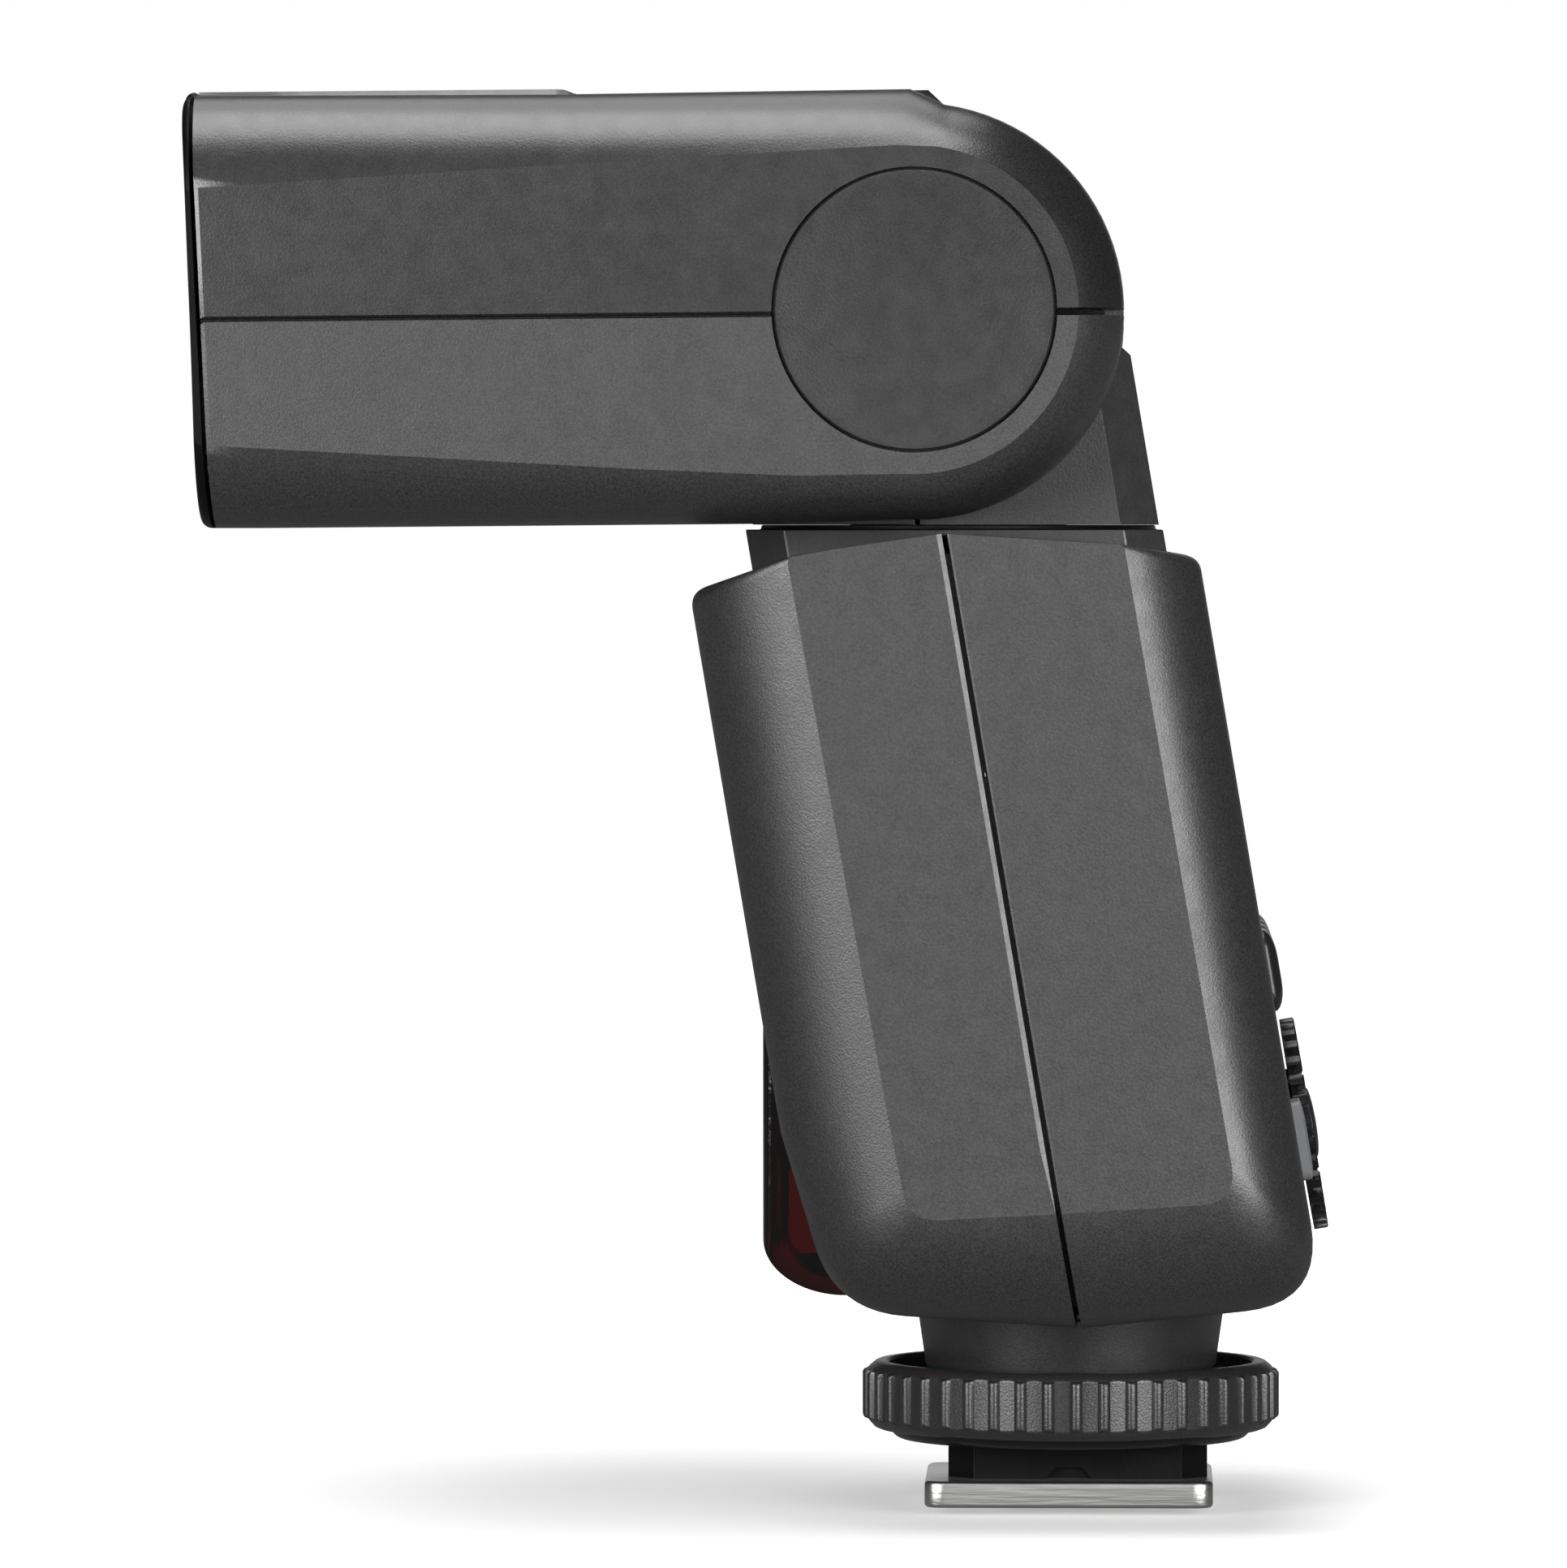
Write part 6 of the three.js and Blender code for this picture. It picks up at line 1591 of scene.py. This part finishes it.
    def build_washer(self) -> None:
        """The clamp washer with its rounded lip."""
        top = self.washer_bottom + self.washer_thickness
        rim_top = self.web[0] - GAP
        inner = self.washer_radius - self.washer_rim
        curve, steps = self.washer_lip, self.washer_lip_steps
        lip = [(self.washer_radius - curve + curve * math.sin(angle),
                self.washer_bottom + curve - curve * math.cos(angle))
               for angle in [math.pi / 2 * step / steps for step in range(steps + 1)]]
        washer = turned("clamping_washer", (0, self.place),
                        [*lip, (self.washer_radius, rim_top), (inner, rim_top), (inner, top)])
        carve(washer, Carve.CUT, prism("block_room", self.block_outline(GAP), 0, FAR, Along.Z))
        self.dress(washer, GLOSS, "washer", "clamp_washer")

    def build_block(self) -> None:
        """The contact block with its insert in the plate, its notch and its contact holes."""
        half = self.block_size[0] / 2
        thick = self.plate_size[2]
        piece = prism("contact_block", self.block_outline(), thick, self.block_top, Along.Z)
        wide, long = self.insert_size
        carve(piece, Carve.JOIN, block("insert", (-wide / 2, wide / 2),
                                       (self.insert_place - long / 2, self.insert_place + long / 2),
                                       (0, thick + GAP)))
        notch = self.notch_width / 2
        slope = self.notch_height
        low = thick - self.notch_sink
        cutter = prism("notch", [(-notch, low), (notch, low), (notch - slope, thick + slope),
                                 (-notch + slope, thick + slope)], half - slope, half + OVERRUN, Along.X)
        holes = [rod("contact_hole", (x, y), radius + GAP, -OVERRUN, self.contact_hole_top, Along.Z,
                     PIN_STEPS) for x, y, radius in self.pins()]
        lock = rod("lock_hole", (0, self.lock_pin[1]), self.lock_hole, -OVERRUN, self.web[0], Along.Z,
                   PIN_STEPS)
        carve(piece, Carve.CUT, cutter, *holes, lock, *self.shaft_holes(self.shaft_top))
        self.dress(soften(piece, self.block_edge, angle=30), MATT, "body", "foot_block")

    def build_plate(self) -> None:
        """The metal plate with round corners and softly broken edges."""
        wide, long, thick = self.plate_size
        outline = rounded_box(-wide / 2, wide / 2, -long / 2, long / 2, self.plate_corner, steps=12)
        plate = prism("shoe_plate", outline, 0, thick, Along.Z)
        soften(plate, self.plate_edge, segments=4, angle=60)
        inner, deep = self.insert_size[0] / 2 + GAP, self.insert_size[1] / 2 + GAP
        carve(plate, Carve.CUT, block("insert_hole", (-inner, inner),
                                      (self.insert_place - deep, self.insert_place + deep),
                                      (-OVERRUN, OVERRUN)),
              rod("lock_hole", (0, self.lock_pin[1]), self.lock_hole, -OVERRUN, OVERRUN, Along.Z, PIN_STEPS),
              *self.screw_holes(), *self.shaft_holes(OVERRUN))
        self.dress(plate, STEEL, "body", "foot_plate")

    def build_pins(self) -> None:
        """Contact pins, lock pin and cross-slotted screws."""
        bodies = ["centre_contact", *[f"contact_{index}" for index in range(1, 5)]]
        nodes = ["centre_contact_pin", *[f"contact_pin_{index}" for index in range(1, 5)]]
        for (x, y, radius), body, node in zip(self.pins(), bodies, nodes):
            steps = self.pin_crown_steps
            crown = [(radius * math.sin(angle), self.pin_bottom + self.pin_crown * (1 - math.cos(angle)))
                     for angle in [math.pi / 2 * step / steps for step in range(1, steps + 1)]]
            pin = turned(f"{body}_stud", (x, y),
                         [(self.pin_tip, self.pin_bottom), *crown, (radius, self.pin_top)],
                         Along.Z, PIN_STEPS)
            self.dress(pin, BRASS, body, node)
        x, y, radius = self.lock_pin
        top = self.web[0] - GAP
        narrow, low, full = self.lock_tip
        stud = turned("locking_stud", (x, y), [(radius - narrow, low), (radius, full), (radius, top)],
                      Along.Z, PIN_STEPS)
        self.dress(stud, TURNED_STEEL, "shoe_pin", "lock_pin")
        wide, deep = self.screw_head_break
        for index, x in enumerate((-self.screw_x, self.screw_x), 1):
            screw = turned(f"cross_screw_{index}", (x, self.screw_y),
                           [(self.screw_head - wide, 0), (self.screw_head, deep),
                            (self.screw_shaft, self.screw_levels[0]),
                            (self.screw_shaft, self.screw_levels[1])],
                           Along.Z, PIN_STEPS)
            bars = [block("slot", (x - a, x + a), (self.screw_y - b, self.screw_y + b),
                          (-OVERRUN, self.cross_depth))
                    for a, b in (self.cross_slot, self.cross_slot[::-1])]
            carve(screw, Carve.CUT, *bars)
            self.dress(screw, TURNED_STEEL, "body", f"foot_screw_{index}")

    def build(self) -> None:
        """Builds the whole foot."""
        self.build_neck()
        self.build_ring()
        self.build_washer()
        self.build_block()
        self.build_plate()
        self.build_pins()


@dataclass
class Inside:
    """The CAD nodes that stay as they are and only get their finish."""

    finishes: dict[str, Finish] = field(default_factory=lambda: {
        "swivel_hub": TURNED_STEEL, "swivel_retaining_ring": TURNED_STEEL,
        "tilt_axle_left": TURNED_STEEL, "tilt_axle_right": TURNED_STEEL,
        "lcd_module": GREY, "main_board": BOARD, "battery_tray": KEYCAP, "battery_contact_plate": STEEL,
        "battery_cell_lower": WRAP, "battery_cell_upper": WRAP, "main_capacitor": GLOSS,
        "flash_transformer": GREY, "door_slide_rail": STEEL, "battery_spring_plate": STEEL,
        "panel_tray": KEYCAP, "zoom_carriage": KEYCAP, "zoom_lead_screw": TURNED_STEEL,
        "zoom_motor": STEEL, "zoom_guide_rod": TURNED_STEEL,
    })

    def dress(self) -> None:
        """Gives each kept node its material."""
        for name, finish in self.finishes.items():
            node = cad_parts[name]
            node.data.materials.clear()
            node.data.materials.append(finish.material())
            log.info("%s: %s", name, finish.name)


@dataclass(frozen=True)
class Lamp:
    """A soft rectangular lamp.

    Attributes:
        name: the lamp's name.
        place: where it hangs.
        size: its width and height.
        level: how bright it makes a white face that looks straight at it.
    """

    name: str
    place: tuple[float, float, float]
    size: Pair
    level: float

    def hang(self, aim: tuple[float, float, float]) -> None:
        """Hangs the lamp and aims it at a point."""
        away = Vector(self.place) - Vector(aim)
        light = bpy.data.lights.new(self.name, "AREA")
        light.shape = "RECTANGLE"
        light.size, light.size_y = (side * MM for side in self.size)
        light.energy = self.level * (math.pi * away.length * MM) ** 2
        holder = bpy.data.objects.new(self.name, light)
        bpy.context.scene.collection.objects.link(holder)
        holder.location = Vector(self.place) * MM
        holder.rotation_euler = away.to_track_quat("Z", "Y").to_euler()
        holder.visible_camera = False


@dataclass
class Studio:
    """A pale floor, soft lamps and the camera at the photograph's angle."""

    camera_place: tuple[float, float, float] = (880, 3.608, 71.98)
    aim: tuple[float, float, float] = (0, -21.2, 52.98)
    focal_pixels: float = 14634
    image_pixels: float = 1932
    sensor: float = 36
    floor_level: float = -0.55
    floor_half: float = 3000
    floor_fade: Pair = (40, 300)
    floor_glow: float = 0.4
    lamp_aim: tuple[float, float, float] = (0, -20, 60)
    far_clip: float = 10
    lamps: tuple[Lamp, ...] = (Lamp("front_softbox", (600, -465, 155), (430, 300), 0.75),
                               Lamp("rear_softbox", (610, 450, 155), (520, 300), 0.9),
                               Lamp("overhead", (110, -60, 720), (440, 420), 0.7),
                               Lamp("far_overhead", (-300, -60, 640), (420, 420), 0.25))
    room_level: float = 0.08
    backdrop_level: float = 1.0
    backdrop_reach: Pair = (-0.95, -0.995)
    front_level: float = 0.36
    front_reach: Pair = (0.3, 0.8)
    side_level: float = 0.03
    mirrored_floor_level: float = 0.15
    floor_colour: tuple[float, float, float] = (0.8, 0.8, 0.8)
    bounce_colour: tuple[float, float, float] = (0.1, 0.1, 0.1)

    def seen_by(self, tree: bpy.types.NodeTree, rays: Sequence[str], plain: bpy.types.NodeSocket,
                other: bpy.types.NodeSocket) -> bpy.types.NodeSocket:
        """Shows another shader to some kinds of rays.

        Args:
            tree: the node tree.
            rays: the Light Path outputs of these rays.
            plain: the shader for all other rays.
            other: the shader for these rays.

        Returns:
            The mixed shader.
        """
        path = tree.nodes.new("ShaderNodeLightPath")
        seen = path.outputs[rays[0]]
        for further in rays[1:]:
            either = tree.nodes.new("ShaderNodeMath")
            either.operation = "MAXIMUM"
            tree.links.new(seen, either.inputs[0])
            tree.links.new(path.outputs[further], either.inputs[1])
            seen = either.outputs["Value"]
        mix = tree.nodes.new("ShaderNodeMixShader")
        tree.links.new(seen, mix.inputs["Fac"])
        tree.links.new(plain, mix.inputs[1])
        tree.links.new(other, mix.inputs[2])
        return mix.outputs["Shader"]

    def glow(self, tree: bpy.types.NodeTree, kind: str,
             level: float | bpy.types.NodeSocket) -> bpy.types.NodeSocket:
        """White light of a level, or of a level that a socket gives."""
        node = tree.nodes.new(kind)
        node.inputs["Color"].default_value = (1, 1, 1, 1)
        if isinstance(level, float):
            node.inputs["Strength"].default_value = level
        else:
            tree.links.new(level, node.inputs["Strength"])
        return node.outputs[0]

    def mirrored(self, tree: bpy.types.NodeTree) -> bpy.types.NodeSocket:
        """The level of the room in mirrors: white backdrop behind, pale wall in front, dark sides."""
        place = tree.nodes.new("ShaderNodeTexCoord")
        split = tree.nodes.new("ShaderNodeSeparateXYZ")
        tree.links.new(place.outputs["Generated"], split.inputs["Vector"])
        levels = []
        for reach, level in ((self.backdrop_reach, self.backdrop_level),
                             (self.front_reach, self.front_level)):
            rise = tree.nodes.new("ShaderNodeMapRange")
            rise.inputs["From Min"].default_value = reach[0]
            rise.inputs["From Max"].default_value = reach[1]
            rise.inputs["To Min"].default_value = self.side_level / 2
            rise.inputs["To Max"].default_value = level
            tree.links.new(split.outputs["X"], rise.inputs["Value"])
            levels.append(rise.outputs["Result"])
        both = tree.nodes.new("ShaderNodeMath")
        both.operation = "ADD"
        for level, socket in zip(levels, both.inputs):
            tree.links.new(level, socket)
        return both.outputs["Value"]

    def build_world(self) -> None:
        """Soft light from all around, a white backdrop, and the room that metal and glass mirror."""
        world = bpy.data.worlds.new("studio")
        bpy.context.scene.world = world
        world.use_nodes = True
        tree = world.node_tree
        soft = tree.nodes["Background"]
        soft.inputs["Color"].default_value = (1, 1, 1, 1)
        soft.inputs["Strength"].default_value = self.room_level
        room = self.seen_by(tree, ["Is Glossy Ray"], soft.outputs["Background"],
                            self.glow(tree, "ShaderNodeBackground", self.mirrored(tree)))
        shader = self.seen_by(tree, ["Is Camera Ray", "Is Transmission Ray"], room,
                              self.glow(tree, "ShaderNodeBackground", self.backdrop_level))
        tree.links.new(shader, tree.nodes["World Output"].inputs["Surface"])

    def build_floor(self) -> None:
        """A pale floor that keeps the shadow near the foot and fades into the backdrop further out."""
        deselect()
        bpy.ops.mesh.primitive_plane_add(size=2 * self.floor_half * MM,
                                         location=(0, 0, self.floor_level * MM))
        floor = bpy.context.object
        floor.name = "studio_floor"
        paint = bpy.data.materials.new("pale_floor")
        paint.use_nodes = True
        tree = paint.node_tree
        shader = tree.nodes["Principled BSDF"]
        shader.inputs["Base Color"].default_value = (*self.floor_colour, 1)
        shader.inputs["Roughness"].default_value = 1
        shader.inputs["Specular IOR Level"].default_value = 0
        near = tree.nodes.new("ShaderNodeAddShader")
        tree.links.new(shader.outputs["BSDF"], near.inputs[0])
        tree.links.new(self.glow(tree, "ShaderNodeEmission", self.fade(tree)), near.inputs[1])
        dark = tree.nodes.new("ShaderNodeBsdfDiffuse")
        dark.inputs["Color"].default_value = (*self.bounce_colour, 1)
        seen = self.seen_by(tree, ["Is Diffuse Ray"], near.outputs["Shader"], dark.outputs["BSDF"])
        seen = self.seen_by(tree, ["Is Glossy Ray"], seen,
                            self.glow(tree, "ShaderNodeEmission", self.mirrored_floor_level))
        tree.links.new(seen, tree.nodes["Material Output"].inputs["Surface"])
        floor.data.materials.append(paint)

    def fade(self, tree: bpy.types.NodeTree) -> bpy.types.NodeSocket:
        """How far the floor has faded into the backdrop, by the distance from the foot."""
        place = tree.nodes.new("ShaderNodeTexCoord")
        distance = tree.nodes.new("ShaderNodeVectorMath")
        distance.operation = "LENGTH"
        tree.links.new(place.outputs["Object"], distance.inputs[0])
        rise = tree.nodes.new("ShaderNodeMapRange")
        rise.inputs["From Min"].default_value = self.floor_fade[0] * MM
        rise.inputs["From Max"].default_value = self.floor_fade[1] * MM
        rise.inputs["To Min"].default_value = self.floor_glow
        tree.links.new(distance.outputs["Value"], rise.inputs["Value"])
        return rise.outputs["Result"]

    def build_camera(self) -> None:
        """The camera of the photograph."""
        lens = bpy.data.cameras.new("camera")
        lens.sensor_width = self.sensor
        lens.lens = self.focal_pixels / self.image_pixels * self.sensor
        lens.clip_end = self.far_clip
        camera = bpy.data.objects.new("camera", lens)
        bpy.context.scene.collection.objects.link(camera)
        camera.location = Vector(self.camera_place) * MM
        view = Vector(self.aim) - Vector(self.camera_place)
        camera.rotation_euler = view.to_track_quat("-Z", "Y").to_euler()
        bpy.context.scene.camera = camera

    def build(self) -> None:
        """Builds floor, lamps, world and camera."""
        bpy.context.scene.view_settings.view_transform = "Standard"
        self.build_world()
        self.build_floor()
        for lamp in self.lamps:
            lamp.hang(self.lamp_aim)
        self.build_camera()


def main() -> None:
    """Builds the studio and dresses the flash, sub-assembly by sub-assembly."""
    logging.basicConfig(level=logging.INFO, format="%(name)s: %(message)s")
    Studio().build()
    Inside().dress()
    for assembly in (Head(), Trunk(), Body(), Foot()):
        assembly.build()


if __name__ == "__main__":
    main()
